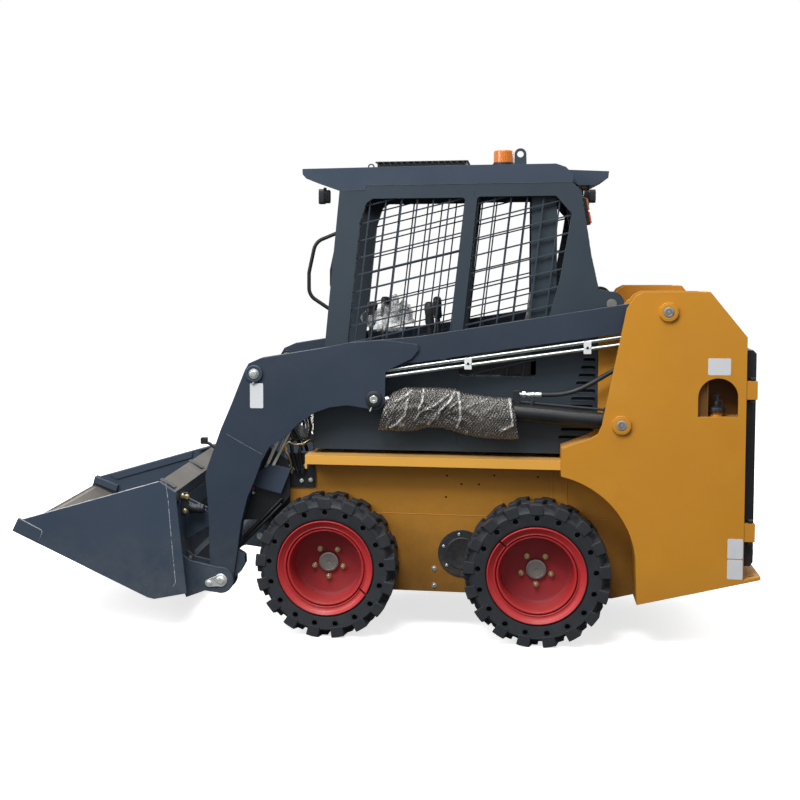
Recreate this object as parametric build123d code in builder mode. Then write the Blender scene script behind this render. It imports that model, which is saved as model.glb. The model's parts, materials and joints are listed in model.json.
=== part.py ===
"""Skid steer loader with lift arms and a bucket.

Frame: +X forwards (towards the bucket), +Y to the machine's left, +Z up, in millimetres.
The origin lies on the ground, below the middle of the machine's length and width.
Outlines in side view are lists of (x, z) points; "reach" values are measured across, along Y.
"""

import math
import os

from build123d import *

# ---------------------------------------------------------------- driving dimensions
# wheels and axles
wheelbase = 857
rear_axle_x = -674
front_axle_x = rear_axle_x + wheelbase
tyre_radius = 292
tyre_width = 205
rim_radius = 190
rim_wall = 6
rim_flange = 13
rim_offset = 53
bead_gap = 0.3
axle_height = tyre_radius
hub_radius = 40
axle_radius = 60

# widths, each a half width measured from the middle of the machine
frame_half = 366
tyre_gap = 9
tyre_inner = frame_half + tyre_gap
tyre_outer = tyre_inner + tyre_width
cab_half = frame_half + 34
cab_wall = 40
tower_inner = cab_half + 5
tower_plate = 12
tower_outer = tower_inner + 155
arm_inner = tower_inner + 35
arm_width = 70
arm_outer = arm_inner + arm_width
arm_cheek = 10
rail_outer = arm_inner + 40
bucket_half = 600

# chassis
chaincase_width = 120
chaincase_top = 748
chaincase_bottom = 164
belly_plate = 8
nose_x = front_axle_x + 185
tail_x = rear_axle_x - 793
tail_bottom = 290
rail_plate = 8
rail_lip = 38
rail_front_x = front_axle_x + 95
rail_rear_x = rear_axle_x - 93

# towers
tower_top = 1435
boom_pivot = (rear_axle_x - 497, 1356)
lift_base = (rear_axle_x - 324, 907)
boss_radius = 36
boss_height = 12
pivot_pin_radius = 20
lift_pin_radius = 17
pin_clearance = 0.3
bumper_length = 65
bumper_plate = 14
tow_hole_radius = 12

# cab
cab_pivot = (-965, 1382)
cab_pivot_pin_radius = 14
cab_pivot_head_radius = 20
cab_bottom = 766
cab_front_x = front_axle_x + 71
cab_rear_x = rear_axle_x - 240
roof_underside = 1875
roof_top = 1951
deck_plate = 8
seat_half = 230

# lift arms and their cylinders
lift_pin = (front_axle_x - 196, 991)
tilt_pin = (front_axle_x + 305, 1091)
foot_pin = (front_axle_x + 450, 213)
foot_pin_radius = 17
foot_radius = 50
lift_barrel_radius = 34
lift_rod_radius = 18
tilt_barrel_radius = 30
tilt_rod_radius = 16
bore_clearance = 0.4
port_radius = 11
hose_radius = 9.5
cross_tube_radius = 32
tilt_reach = arm_inner - 40
lift_reach = arm_inner + arm_width / 2
# how far the arms rise and the bucket dumps, in degrees
lift_range = 65
dump_range = 95

# bucket and its coupler
bucket_plate = 12
tilt_eye = (foot_pin[0] + 82, foot_pin[1] + 242)
ear_plate = 12
ear_gap = 5


# ---------------------------------------------------------------- helpers
def at_reach(reach):
    """Side-view sketch plane at this distance to the left; extruding goes towards the middle."""
    return Plane.XZ.offset(-reach)


def polygon(points):
    """Flat face bounded by the closed polygon through the points."""
    with BuildSketch() as face:
        with BuildLine():
            Polyline(*points, close=True)
        make_face()
    return face.sketch


def rounded(points, radius):
    """Flat face bounded by the closed polygon through the points, with rounded corners."""
    with BuildSketch() as face:
        add(polygon(points))
        fillet(face.vertices(), radius)
    return face.sketch


def slab(points, outer, inner, mode=Mode.ADD):
    """Add the polygon, extruded across from the outer to the inner reach."""
    with BuildSketch(at_reach(outer)) as profile:
        add(polygon(points))
    extrude(profile.sketch, amount=outer - inner, mode=mode)


def disc(centre, radius, outer, inner, mode=Mode.ADD):
    """Add a cylinder whose axis runs across the machine."""
    with BuildSketch(at_reach(outer)) as profile:
        with Locations(centre):
            Circle(radius)
    extrude(profile.sketch, amount=outer - inner, mode=mode)


def block(low, high, mode=Mode.ADD):
    """Add the box between two corners."""
    size = [b - a for a, b in zip(low, high)]
    middle = [(a + b) / 2 for a, b in zip(low, high)]
    with Locations(tuple(middle)):
        Box(*size, mode=mode)


def rod(start, direction, reach, radius, begin, end, mode=Mode.ADD):
    """Add a round bar along a direction in side view, between two stations on its axis."""
    along = (direction[0], 0, direction[1])
    origin = (start[0] + direction[0] * begin, reach, start[1] + direction[1] * begin)
    with BuildSketch(Plane(origin=origin, z_dir=along)) as profile:
        Circle(radius)
    extrude(profile.sketch, amount=end - begin, mode=mode)


def unit(start, end):
    """Direction from one side-view point to another, and the distance between them."""
    length = math.dist(start, end)
    return ((end[0] - start[0]) / length, (end[1] - start[1]) / length), length


pieces = {}

# ---------------------------------------------------------------- chassis
chaincase_outline = [
    (tail_x, tail_bottom),
    (rear_axle_x - 309, chaincase_bottom),
    (front_axle_x + 27, chaincase_bottom),
    (nose_x, 300),
    (nose_x, 592),
    (nose_x - 106, 694),
    (nose_x - 106, chaincase_top),
    (tail_x, chaincase_top),
]

with BuildPart() as chaincase_left:
    slab(chaincase_outline, frame_half, frame_half - chaincase_width)
pieces["chaincase_left"] = chaincase_left

with BuildPart() as chaincase_right:
    mirror(chaincase_left.part, about=Plane.XZ)
pieces["chaincase_right"] = chaincase_right

pan_half = frame_half - chaincase_width
pan_front_top = 600
with BuildPart() as belly_pan:
    pan_line = [
        (tail_x, tail_bottom),
        (rear_axle_x - 309, chaincase_bottom),
        (front_axle_x + 27, chaincase_bottom),
        (nose_x, 300),
        (nose_x, pan_front_top),
    ]
    pan_inside = [
        (nose_x - belly_plate, pan_front_top),
        (nose_x - belly_plate, 300 + belly_plate / 2),
        (front_axle_x + 24, chaincase_bottom + belly_plate),
        (rear_axle_x - 308, chaincase_bottom + belly_plate),
        (tail_x, tail_bottom + belly_plate),
    ]
    slab(pan_line + pan_inside, pan_half, -pan_half)
pieces["belly_pan"] = belly_pan

with BuildPart() as footwell:
    well_rear_x = front_axle_x - 283
    well_floor = pan_front_top
    well_top = chaincase_top
    well_half = pan_half
    block((well_rear_x, -well_half, well_floor), (nose_x, well_half, well_floor + belly_plate))
    block((well_rear_x, -well_half, well_floor), (well_rear_x + belly_plate, well_half, well_top))
pieces["footwell"] = footwell

with BuildPart() as side_rails:
    block(
        (rail_rear_x, frame_half, chaincase_top - rail_plate),
        (rail_front_x, rail_outer, chaincase_top),
    )
    block(
        (rail_rear_x, rail_outer - rail_plate, chaincase_top - rail_lip),
        (rail_front_x, rail_outer, chaincase_top),
    )
    block(
        (rail_front_x - rail_plate, frame_half, chaincase_top - 1.5 * rail_lip),
        (rail_front_x, rail_outer, chaincase_top),
    )
    mirror(about=Plane.XZ)
pieces["side_rails"] = side_rails

with BuildPart() as axle_housings:
    for axle_x in (front_axle_x, rear_axle_x):
        disc((axle_x, axle_height), axle_radius + 25, frame_half + 10, frame_half)
        disc((axle_x, axle_height), axle_radius, tyre_inner + 30, frame_half)
    mirror(about=Plane.XZ)
pieces["axle_housings"] = axle_housings

cover_plate = 3.5
with BuildPart() as chain_covers:
    cover_x = (front_axle_x + rear_axle_x) / 2 - 125
    disc((cover_x, 330), 100, frame_half + cover_plate, frame_half)
    mirror(about=Plane.XZ)
pieces["chain_covers"] = chain_covers

with BuildPart() as nose_plates:
    plate_high = 685
    slab(
        [
            (nose_x - 118, 595),
            (nose_x - 6, 595),
            (nose_x - 6, plate_high - 30),
            (nose_x - 40, plate_high),
            (nose_x - 118, plate_high),
        ],
        frame_half + 8,
        frame_half,
    )
    mirror(about=Plane.XZ)
pieces["nose_plates"] = nose_plates

# ---------------------------------------------------------------- towers at the rear
arch_rear = (rear_axle_x - 386, 341)
arch_crown = (rear_axle_x - 286, 588)
arch_front = (rail_rear_x, 696)
tower_rear_top = (tail_x, 1259)


def tower_face():
    """Side outline of a tower, with the arch over the rear wheel."""
    with BuildSketch() as face:
        with BuildLine():
            ThreePointArc(arch_rear, arch_crown, arch_front)
            Polyline(
                arch_front,
                (rail_rear_x, 808),
                (rail_rear_x - 111, 851),
                (rail_rear_x - 141, 870),
                (rail_rear_x - 156, 906),
                (rail_rear_x - 246, 1369),
                (rail_rear_x - 279, 1419),
                (rail_rear_x - 309, tower_top),
                (tail_x + 140, tower_top),
                tower_rear_top,
                (tail_x, tail_bottom),
                (rear_axle_x - 391, 188),
                arch_rear,
            )
        make_face()
    return face.sketch


hose_end = (-1310, 967)
slot_floor = 843
tank_top = 945
tank_front_x = tail_x + 217
slot_outer = tower_outer - tower_plate
slot_inner = tower_inner + tower_plate
fuel_opening_x = tail_x + 105
with BuildPart() as tower_left:
    with BuildSketch(at_reach(tower_outer)):
        add(tower_face())
    extrude(amount=tower_outer - tower_inner)
    # the front edge of the inner plate stands upright behind the cab
    slab(
        [
            (cab_rear_x, chaincase_top),
            (cab_rear_x, 1290),
            (cab_rear_x - 56, 1330),
            (rail_rear_x - 260, 1400),
            (tail_x + 140, tower_top),
            (tail_x + 140, chaincase_top),
        ],
        slot_inner,
        tower_inner,
    )
    # below the top of the chaincase the tower reaches in to it
    with BuildSketch(at_reach(tower_inner)):
        add(tower_face())
        with Locations(((tail_x + rail_rear_x) / 2, chaincase_top + 500)):
            Rectangle(2000, 1000, mode=Mode.SUBTRACT)
    extrude(amount=tower_inner - frame_half)
    # slot for the lift arm and the lift cylinder, open at the front and the top
    slab(
        [
            (rail_rear_x + 60, slot_floor - 47),
            (rail_rear_x - 111, slot_floor),
            (tank_front_x, slot_floor),
            (tank_front_x, tank_top),
            (tail_x + tower_plate, tank_top),
            (tail_x + tower_plate, tower_rear_top[1] - 5),
            (tail_x + 146, tower_top - tower_plate),
            (tail_x + 176, tower_top - tower_plate),
            (tail_x + 176, tower_top + 60),
            (rail_rear_x + 60, tower_top + 60),
        ],
        slot_outer,
        slot_inner,
        mode=Mode.SUBTRACT,
    )
    # arched opening in front of the fuel filler
    with BuildSketch(at_reach(tower_outer)):
        with Locations((fuel_opening_x, tank_top + 39)):
            Rectangle(150, 78)
        with Locations((fuel_opening_x, tank_top + 78)):
            Circle(75)
        with Locations((fuel_opening_x, tank_top - 50)):
            Rectangle(200, 100, mode=Mode.SUBTRACT)
    extrude(amount=tower_plate, mode=Mode.SUBTRACT)
    for centre, pin_radius in ((boom_pivot, pivot_pin_radius), (lift_base, lift_pin_radius)):
        disc(centre, boss_radius, tower_outer + boss_height, tower_outer)
        disc(centre, pin_radius, tower_outer + boss_height, tower_inner, mode=Mode.SUBTRACT)
    # bulkhead that the hose of the lift cylinder comes down to
    with BuildSketch(Plane.XY.offset(tank_top)):
        with Locations((hose_end[0], lift_reach)):
            Circle(port_radius + 3)
    extrude(amount=hose_end[1] - tank_top)
pieces["tower_left"] = tower_left

with BuildPart() as tower_right:
    mirror(tower_left.part, about=Plane.XZ)
pieces["tower_right"] = tower_right

with BuildPart() as pivot_pins:
    for centre, pin_radius in ((boom_pivot, pivot_pin_radius), (lift_base, lift_pin_radius)):
        disc(centre, pin_radius - 0.05, tower_outer + boss_height + 2, tower_inner)
    mirror(about=Plane.XZ)
pieces["pivot_pins"] = pivot_pins

with BuildPart() as fuel_caps:
    with BuildSketch(Plane.XY.offset(tank_top)):
        with Locations((fuel_opening_x, slot_outer - 40)):
            Circle(24)
    extrude(amount=22)
    with BuildSketch(Plane.XY.offset(tank_top + 22)):
        with Locations((fuel_opening_x, slot_outer - 40)):
            Circle(32)
    extrude(amount=20)
    mirror(about=Plane.XZ)
pieces["fuel_caps"] = fuel_caps

with BuildPart() as rear_bumper:
    slope = (chaincase_bottom - tail_bottom) / (rear_axle_x - 309 - tail_x)
    drop = slope * bumper_length
    slab(
        [
            (tail_x, tail_bottom),
            (tail_x - bumper_length, tail_bottom - drop),
            (tail_x - bumper_length, tail_bottom - drop + bumper_plate),
            (tail_x, tail_bottom + bumper_plate),
        ],
        tower_outer,
        -tower_outer,
    )
    with BuildSketch(Plane.XY):
        for side in (1, -1):
            with Locations((tail_x - 35, side * (tower_outer - 40))):
                Circle(tow_hole_radius)
    extrude(amount=tail_bottom + 2 * bumper_length, mode=Mode.SUBTRACT)
pieces["rear_bumper"] = rear_bumper

hood_top = 1305
ear_outer = cab_half - 20
ear_thick = 14
ear_radius = 25
door_top = 1226
with BuildPart() as engine_hood:
    slab(
        [
            (cab_rear_x - 35, hood_top - 60),
            (cab_rear_x - 35, hood_top),
            (tail_x + 130, hood_top),
            (tail_x, door_top),
            (tail_x, door_top - 12),
            (tail_x + 12, door_top - 12),
            (tail_x + 126, hood_top - 10),
            (cab_rear_x - 45, hood_top - 10),
            (cab_rear_x - 45, hood_top - 60),
        ],
        tower_inner,
        -tower_inner,
    )
    # ears that carry the pivots of the cab
    for side in (1, -1):
        outer = side * ear_outer
        inner = side * (ear_outer - ear_thick)
        slab(
            [
                (cab_pivot[0] - 50, hood_top),
                (cab_pivot[0] - ear_radius, cab_pivot[1]),
                (cab_pivot[0] + ear_radius, cab_pivot[1]),
                (cab_pivot[0] + 2, hood_top),
            ],
            max(outer, inner),
            min(outer, inner),
        )
        disc(cab_pivot, ear_radius, max(outer, inner), min(outer, inner))
    bore_radius = cab_pivot_pin_radius + pin_clearance
    disc(cab_pivot, bore_radius, ear_outer, -ear_outer, mode=Mode.SUBTRACT)
pieces["engine_hood"] = engine_hood

with BuildPart() as engine_block:
    engine_half = 200
    block((tail_x + 120, -engine_half, 340), (cab_rear_x - 60, engine_half, 900))
    block((tail_x + 180, -pan_half, 520), (tail_x + 240, pan_half, 560))
    block((cab_rear_x - 160, -pan_half, 520), (cab_rear_x - 100, pan_half, 560))
pieces["engine_block"] = engine_block

# rear door, hung on upright hinges at the left rear corner
door_half = 520
door_bottom = 352
door_thick = 36
door_gap = 7
hinge_reach = 545
hinge_x = tail_x - 25
hinge_heights = (456, 1016)
hinge_height = 72
hinge_pin_radius = 7
with BuildPart() as door_hinges:
    for z in hinge_heights:
        block(
            (hinge_x - 16, hinge_reach - 14, z),
            (tail_x, tower_outer - 2, z + hinge_height),
        )
        with BuildSketch(Plane.XY.offset(z)):
            with Locations((hinge_x, hinge_reach)):
                Circle(hinge_pin_radius + pin_clearance)
        extrude(amount=hinge_height, mode=Mode.SUBTRACT)
pieces["door_hinges"] = door_hinges

with BuildPart() as rear_door:
    door_front_x = tail_x - door_gap
    block(
        (door_front_x - door_thick, -door_half, door_bottom),
        (door_front_x, door_half, door_top - 20),
    )
    outer_edges = rear_door.edges().group_by(Axis.X)[0]
    chamfer(outer_edges, 14)
    for z in hinge_heights:
        for tab_z in (z - 12, z + hinge_height + 2):
            block(
                (hinge_x - 9, door_half - 2, tab_z),
                (hinge_x + 9, hinge_reach + 9, tab_z + 10),
            )
        with BuildSketch(Plane.XY.offset(z - 12)):
            with Locations((hinge_x, hinge_reach)):
                Circle(hinge_pin_radius)
        extrude(amount=hinge_height + 24)
    # recess of the pull handle
    block(
        (door_front_x - door_thick, -door_half + 40, 760),
        (door_front_x - door_thick + 12, -door_half + 80, 900),
        mode=Mode.SUBTRACT,
    )
pieces["rear_door"] = rear_door

# ---------------------------------------------------------------- cab
cab_side_outline = [
    (cab_front_x, cab_bottom),
    (cab_front_x, 920),
    (cab_front_x - 49, 1202),
    (cab_front_x - 112, 1855),
    (cab_front_x - 223, 1855),
    (cab_front_x - 223, roof_underside),
    (cab_rear_x + 108, roof_underside),
    (cab_rear_x + 75, 1842),
    (cab_rear_x + 32, 1574),
    (cab_rear_x + 2, 1440),
    (cab_rear_x - 21, 1364),
    (cab_rear_x - 21, 1240),
    (cab_rear_x, 1200),
    (cab_rear_x, cab_bottom),
]
front_window = [
    (cab_front_x - 139, 1150),
    (cab_front_x - 196, 1717),
    (cab_front_x - 223, 1799),
    (cab_front_x - 251, 1818),
    (cab_front_x - 632, 1818),
    (cab_front_x - 565, 1150),
]
rear_window = [
    (cab_front_x - 680, 1821),
    (cab_front_x - 605, 1080),
    (cab_front_x - 921, 1080),
    (cab_front_x - 921, 1146),
    (cab_front_x - 1012, 1473),
    (cab_front_x - 1046, 1669),
    (cab_front_x - 1058, 1749),
    (cab_front_x - 995, 1821),
]
windows = (front_window, rear_window)
window_corner = 14
wall_inner = cab_half - cab_wall

with BuildPart() as cab_side_left:
    slab(cab_side_outline, cab_half, wall_inner)
    for window in windows:
        with BuildSketch(at_reach(cab_half)):
            add(rounded(window, window_corner))
        extrude(amount=cab_wall, mode=Mode.SUBTRACT)
    # bracket that hangs the cab from its rear pivots
    slab(
        [
            (cab_pivot[0] + 60, 1364),
            (cab_pivot[0] + 50, 1440),
            (cab_pivot[0] - 10, cab_pivot[1] + 48),
            (cab_pivot[0] - 10, cab_pivot[1] - 48),
            (cab_pivot[0] + 44, cab_pivot[1] - 40),
        ],
        cab_half,
        cab_half - 16,
    )
    disc(cab_pivot, 50, cab_half, cab_half - 16)
    disc(cab_pivot, cab_pivot_pin_radius, cab_half, cab_half - 16, mode=Mode.SUBTRACT)
pieces["cab_side_left"] = cab_side_left

with BuildPart() as cab_side_right:
    mirror(cab_side_left.part, about=Plane.XZ)
pieces["cab_side_right"] = cab_side_right

with BuildPart() as cab_pivot_pins:
    disc(cab_pivot, cab_pivot_head_radius, cab_half + 2, cab_half)
    disc(cab_pivot, cab_pivot_pin_radius - 0.05, cab_half, cab_half - 36)
    mirror(about=Plane.XZ)
pieces["cab_pivot_pins"] = cab_pivot_pins

grille_bar = 5
grille_inset = cab_wall / 2
grille_height = 1446
# upright bars lean with the window posts, cross bars rise to the rear
upright_pitch = 65
upright_lean = 6.2
cross_pitch = 68
cross_slope = 13.5
with BuildPart() as window_grilles:
    for window in windows:
        low_x = min(x for x, z in window)
        high_x = max(x for x, z in window)
        with BuildSketch(at_reach(cab_half - grille_inset)):
            with Locations(((low_x + high_x) / 2 - 10, grille_height)):
                with Locations(Rotation(0, 0, upright_lean)):
                    with GridLocations(upright_pitch, 0, 11, 1):
                        Rectangle(grille_bar, 900)
                with Locations(Rotation(0, 0, -cross_slope)):
                    with GridLocations(0, cross_pitch, 1, 14):
                        Rectangle(800, grille_bar)
            add(rounded(window, window_corner), mode=Mode.INTERSECT)
        extrude(amount=grille_bar)
    mirror(about=Plane.XZ)
pieces["window_grilles"] = window_grilles

with BuildPart() as cab_roof:
    slab(
        [
            (cab_front_x + 45, 1943),
            (cab_front_x + 43, 1922),
            (cab_front_x + 28, 1905),
            (cab_front_x - 28, 1882),
            (cab_front_x - 103, 1855),
            (cab_front_x - 223, 1855),
            (cab_front_x - 223, roof_underside),
            (cab_rear_x + 105, roof_underside),
            (cab_rear_x + 105, 1906),
            (cab_rear_x + 135, 1937),
            (cab_rear_x + 174, roof_top),
            (cab_front_x - 568, roof_top),
            (cab_front_x + 40, 1946),
        ],
        cab_half,
        -cab_half,
    )
    visor_half = 300
    slab(
        [
            (cab_rear_x + 150, 1932),
            (cab_rear_x - 41, 1922),
            (cab_rear_x - 38, 1895),
            (cab_rear_x + 17, 1866),
            (cab_rear_x + 79, 1866),
            (cab_rear_x + 105, 1880),
            (cab_rear_x + 150, 1880),
        ],
        visor_half,
        -visor_half,
    )
pieces["cab_roof"] = cab_roof

with BuildPart() as cab_front_frame:
    # header between the front posts
    slab(
        [
            (cab_front_x - 112, 1855),
            (cab_front_x - 106, 1790),
            (cab_front_x - 150, 1790),
            (cab_front_x - 156, 1855),
        ],
        wall_inner,
        -wall_inner,
    )
    # sill that the operator steps over
    slab(
        [
            (cab_front_x, cab_bottom),
            (cab_front_x, 850),
            (cab_front_x - 30, 850),
            (cab_front_x - 30, cab_bottom),
        ],
        wall_inner,
        -wall_inner,
    )
pieces["cab_front_frame"] = cab_front_frame

rear_wall_line = [
    (cab_rear_x + 108, roof_underside),
    (cab_rear_x + 75, 1842),
    (cab_rear_x + 32, 1574),
    (cab_rear_x + 2, 1440),
    (cab_rear_x - 21, 1364),
    (cab_rear_x - 21, 1240),
    (cab_rear_x, 1200),
    (cab_rear_x, cab_bottom),
]
with BuildPart() as cab_rear_wall:
    inner_line = [(x + cab_wall, z) for x, z in reversed(rear_wall_line)]
    slab(rear_wall_line + inner_line, wall_inner, -wall_inner)
    rear_glass_half = 270
    block(
        (cab_rear_x - 60, -rear_glass_half, 1430),
        (cab_rear_x + 150, rear_glass_half, 1790),
        mode=Mode.SUBTRACT,
    )
pieces["cab_rear_wall"] = cab_rear_wall

with BuildPart() as cab_floor:
    floor_front_x = cab_front_x - 30
    floor_rear_x = cab_rear_x + cab_wall
    deck_low = cab_bottom
    deck_high = cab_bottom + deck_plate
    block((floor_rear_x, -wall_inner, deck_low), (floor_front_x, wall_inner, deck_high))
    # opening over the footwell
    block(
        (well_rear_x + 20, -pan_half + 20, deck_low),
        (floor_front_x + 1, pan_half - 20, deck_high),
        mode=Mode.SUBTRACT,
    )
    # rubber mounts between the cab and the chaincases
    mount_top = deck_low
    mount_foot = chaincase_top + pin_clearance
    for mount_x in (floor_front_x - 60, floor_rear_x + 60):
        for side in (1, -1):
            block(
                (mount_x - 30, side * 310 - 30, mount_foot),
                (mount_x + 30, side * 310 + 30, mount_top),
            )
pieces["cab_floor"] = cab_floor

seat_front_x = -150
seat_rear_x = -600
seat_top = 1085
with BuildPart() as seat_base:
    block((seat_rear_x, -220, deck_high), (seat_front_x - 20, 220, 980))
pieces["seat_base"] = seat_base

with BuildPart() as seat_cushion:
    block((seat_rear_x + 20, -seat_half, 980), (seat_front_x, seat_half, seat_top))
    fillet(seat_cushion.edges().filter_by(Axis.Z), 40)
    fillet(seat_cushion.edges().group_by(Axis.Z)[-1], 25)
pieces["seat_cushion"] = seat_cushion

with BuildPart() as seat_backrest:
    slab(
        [
            (seat_rear_x + 10, 980),
            (seat_rear_x - 60, 1460),
            (seat_rear_x - 135, 1460),
            (seat_rear_x - 80, 980),
        ],
        seat_half - 10,
        -seat_half + 10,
    )
    fillet(seat_backrest.edges().filter_by(Axis.Y).group_by(Axis.Z)[-1], 25)
pieces["seat_backrest"] = seat_backrest

with BuildPart() as control_levers:
    console_x = (-250, 60)
    console_top = 1120
    console_outer = wall_inner
    console_inner = 270
    block(
        (console_x[0], console_inner, deck_high),
        (console_x[1], console_outer, console_top),
    )
    lever_x = console_x[1] - 40
    lever_reach = (console_inner + console_outer) / 2
    with BuildSketch(Plane.XY.offset(console_top)):
        with Locations((lever_x, lever_reach)):
            Circle(10)
    extrude(amount=180)
    with BuildSketch(Plane.XY.offset(console_top + 180)):
        with Locations((lever_x, lever_reach)):
            Circle(22)
    extrude(amount=90)
    mirror(about=Plane.XZ)
pieces["control_levers"] = control_levers

with BuildPart() as roof_vent:
    block((cab_rear_x + 514, -200, roof_top), (cab_front_x - 214, 200, roof_top + 33))
    fillet(roof_vent.edges().filter_by(Axis.Z), 20)
pieces["roof_vent"] = roof_vent

with BuildPart() as beacon:
    beacon_place = (-530, 250)
    with BuildSketch(Plane.XY.offset(roof_top)):
        with Locations(beacon_place):
            Circle(46)
    extrude(amount=14)
    with BuildSketch(Plane.XY.offset(roof_top + 14)):
        with Locations(beacon_place):
            Circle(41)
    extrude(amount=54)
    fillet(beacon.edges().group_by(Axis.Z)[-1], 10)
pieces["beacon"] = beacon

eye_x = -598
eye_height = 67
eye_hole_radius = 13
eye_plate = 12
with BuildPart() as lifting_eyes:
    eye_reach = cab_half - 50
    eye_centre = (eye_x, roof_top + 43)
    slab(
        [
            (eye_x - 25, roof_top),
            (eye_x + 25, roof_top),
            (eye_x + 24, roof_top + 43),
            (eye_x - 24, roof_top + 43),
        ],
        eye_reach + eye_plate / 2,
        eye_reach - eye_plate / 2,
    )
    disc(eye_centre, 24, eye_reach + eye_plate / 2, eye_reach - eye_plate / 2)
    disc(
        eye_centre,
        eye_hole_radius,
        eye_reach + eye_plate / 2,
        eye_reach - eye_plate / 2,
        mode=Mode.SUBTRACT,
    )
    mirror(about=Plane.XZ)
pieces["lifting_eyes"] = lifting_eyes


def visor_height(x):
    """Height of the front visor's underside above a point."""
    rise = (1882 - 1855) / 75
    return 1855 + rise * (x - (cab_front_x - 103))


with BuildPart() as work_lights:
    lamp_x = cab_front_x - 77
    lamp_reach = cab_half - 35
    block((lamp_x, lamp_reach - 40, 1797), (lamp_x + 56, lamp_reach + 30, 1862))
    slab(
        [
            (lamp_x + 18, 1862),
            (lamp_x + 38, 1862),
            (lamp_x + 38, visor_height(lamp_x + 38)),
            (lamp_x + 18, visor_height(lamp_x + 18)),
        ],
        lamp_reach + 5,
        lamp_reach - 15,
    )
    rear_lamp_x = cab_rear_x + 10
    block((rear_lamp_x, 220, 1794), (rear_lamp_x + 54, 290, 1850))
    block((rear_lamp_x + 17, 245, 1850), (rear_lamp_x + 37, 265, 1866))
    mirror(about=Plane.XZ)
pieces["work_lights"] = work_lights

with BuildPart() as grab_handles:
    handle_reach = cab_half - 20
    handle_radius = 8
    with BuildLine():
        FilletPolyline(
            (cab_front_x - 95, handle_reach, 1675),
            (cab_front_x - 8, handle_reach, 1640),
            (cab_front_x + 20, handle_reach, 1511),
            (cab_front_x + 20, handle_reach, 1415),
            (cab_front_x - 66, handle_reach, 1358),
            radius=60,
        )
    with BuildSketch(Plane(origin=(cab_front_x - 95, handle_reach, 1675), z_dir=(87, 0, -35))):
        Circle(handle_radius)
    sweep()
    add(cab_side_left.part, mode=Mode.SUBTRACT)
    mirror(about=Plane.XZ)
pieces["grab_handles"] = grab_handles

# ---------------------------------------------------------------- lift arms
beam_tip = (front_axle_x - 379, 1196)
# upper and front line of the elbow and the leg, down to the foot
arm_front_line = [
    (front_axle_x - 375, 1218),
    (front_axle_x - 233, 1235),
    (front_axle_x - 93, 1223),
    (front_axle_x + 10, 1201),
    (front_axle_x + 279, 1156),
    (front_axle_x + 328, 1134),
    (front_axle_x + 344, 1107),
    (front_axle_x + 405, 956),
    (front_axle_x + 450, 852),
    (front_axle_x + 483, 760),
    (front_axle_x + 511, 683),
    (front_axle_x + 517, 650),
    (front_axle_x + 509, 563),
    (front_axle_x + 502, 432),
    (foot_pin[0] + foot_radius, foot_pin[1]),
    (foot_pin[0] - foot_radius, foot_pin[1]),
]
cheek_outline = arm_front_line + [
    (front_axle_x + 378, 355),
    (front_axle_x + 364, 458),
    (front_axle_x + 336, 568),
    (front_axle_x + 303, 645),
    (front_axle_x + 276, 721),
    (front_axle_x + 243, 781),
    (front_axle_x + 177, 825),
    (front_axle_x + 116, 886),
    (front_axle_x + 48, 932),
    (front_axle_x - 11, 954),
    (front_axle_x - 85, 964),
    (lift_pin[0] + 20, lift_pin[1] - 40),
    (lift_pin[0] - 45, lift_pin[1]),
    (front_axle_x - 244, 1107),
    (front_axle_x - 350, 1159),
    beam_tip,
]
core_outline = arm_front_line + [
    (front_axle_x + 386, 355),
    (front_axle_x + 372, 458),
    (front_axle_x + 344, 568),
    (front_axle_x + 311, 645),
    (front_axle_x + 284, 721),
    (front_axle_x + 250, 790),
    (front_axle_x + 177, 850),
    (front_axle_x + 116, 930),
    (front_axle_x + 20, 1010),
    (front_axle_x - 90, 1062),
    (front_axle_x - 150, 1062),
    (front_axle_x - 150, 1128),
    (front_axle_x - 384, 1145),
]
beam_start_top = (boom_pivot[0] + 8, boom_pivot[1] + 52)
beam_start_low = (boom_pivot[0] - 8, boom_pivot[1] - 62)
core_inner = arm_inner + arm_cheek
core_outer = arm_outer - arm_cheek
with BuildPart() as boom_arm_left:
    # beam from the rear pivot to the elbow
    slab(
        [
            beam_start_top,
            (front_axle_x - 375, 1249),
            (front_axle_x - 233, 1235),
            (front_axle_x - 150, 1128),
            (front_axle_x - 384, 1145),
            (front_axle_x - 706, 1197),
            beam_start_low,
        ],
        core_outer,
        core_inner,
    )
    disc(boom_pivot, 57, core_outer, core_inner)
    # elbow and leg: a closed core between two cheek plates
    slab(core_outline, core_outer, core_inner)
    for plate_outer in (arm_outer, core_inner):
        slab(cheek_outline, plate_outer, plate_outer - arm_cheek)
        disc(lift_pin, 45, plate_outer, plate_outer - arm_cheek)
    disc(foot_pin, foot_radius, arm_outer, arm_inner)
    # washers that centre the arm between the tower plates
    disc(boom_pivot, 40, arm_outer + 33, arm_inner - 18)
    disc(lift_pin, 28, arm_outer + 10, arm_outer)
    # lug at the back of the foot
    slab(
        [
            (front_axle_x + 387, 340),
            (front_axle_x + 351, 318),
            (front_axle_x + 349, 284),
            (front_axle_x + 371, 244),
            (front_axle_x + 412, 206),
        ],
        core_outer,
        core_inner,
    )
    bores = (
        (boom_pivot, pivot_pin_radius + pin_clearance, arm_outer + 33, arm_inner - 18),
        (foot_pin, foot_pin_radius + pin_clearance, arm_outer, arm_inner),
        (tilt_pin, foot_pin_radius, arm_outer, arm_inner),
    )
    for centre, bore_radius, outer, inner in bores:
        disc(centre, bore_radius, outer, inner, mode=Mode.SUBTRACT)
pieces["boom_arm_left"] = boom_arm_left

with BuildPart() as boom_arm_right:
    mirror(boom_arm_left.part, about=Plane.XZ)
pieces["boom_arm_right"] = boom_arm_right

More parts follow.
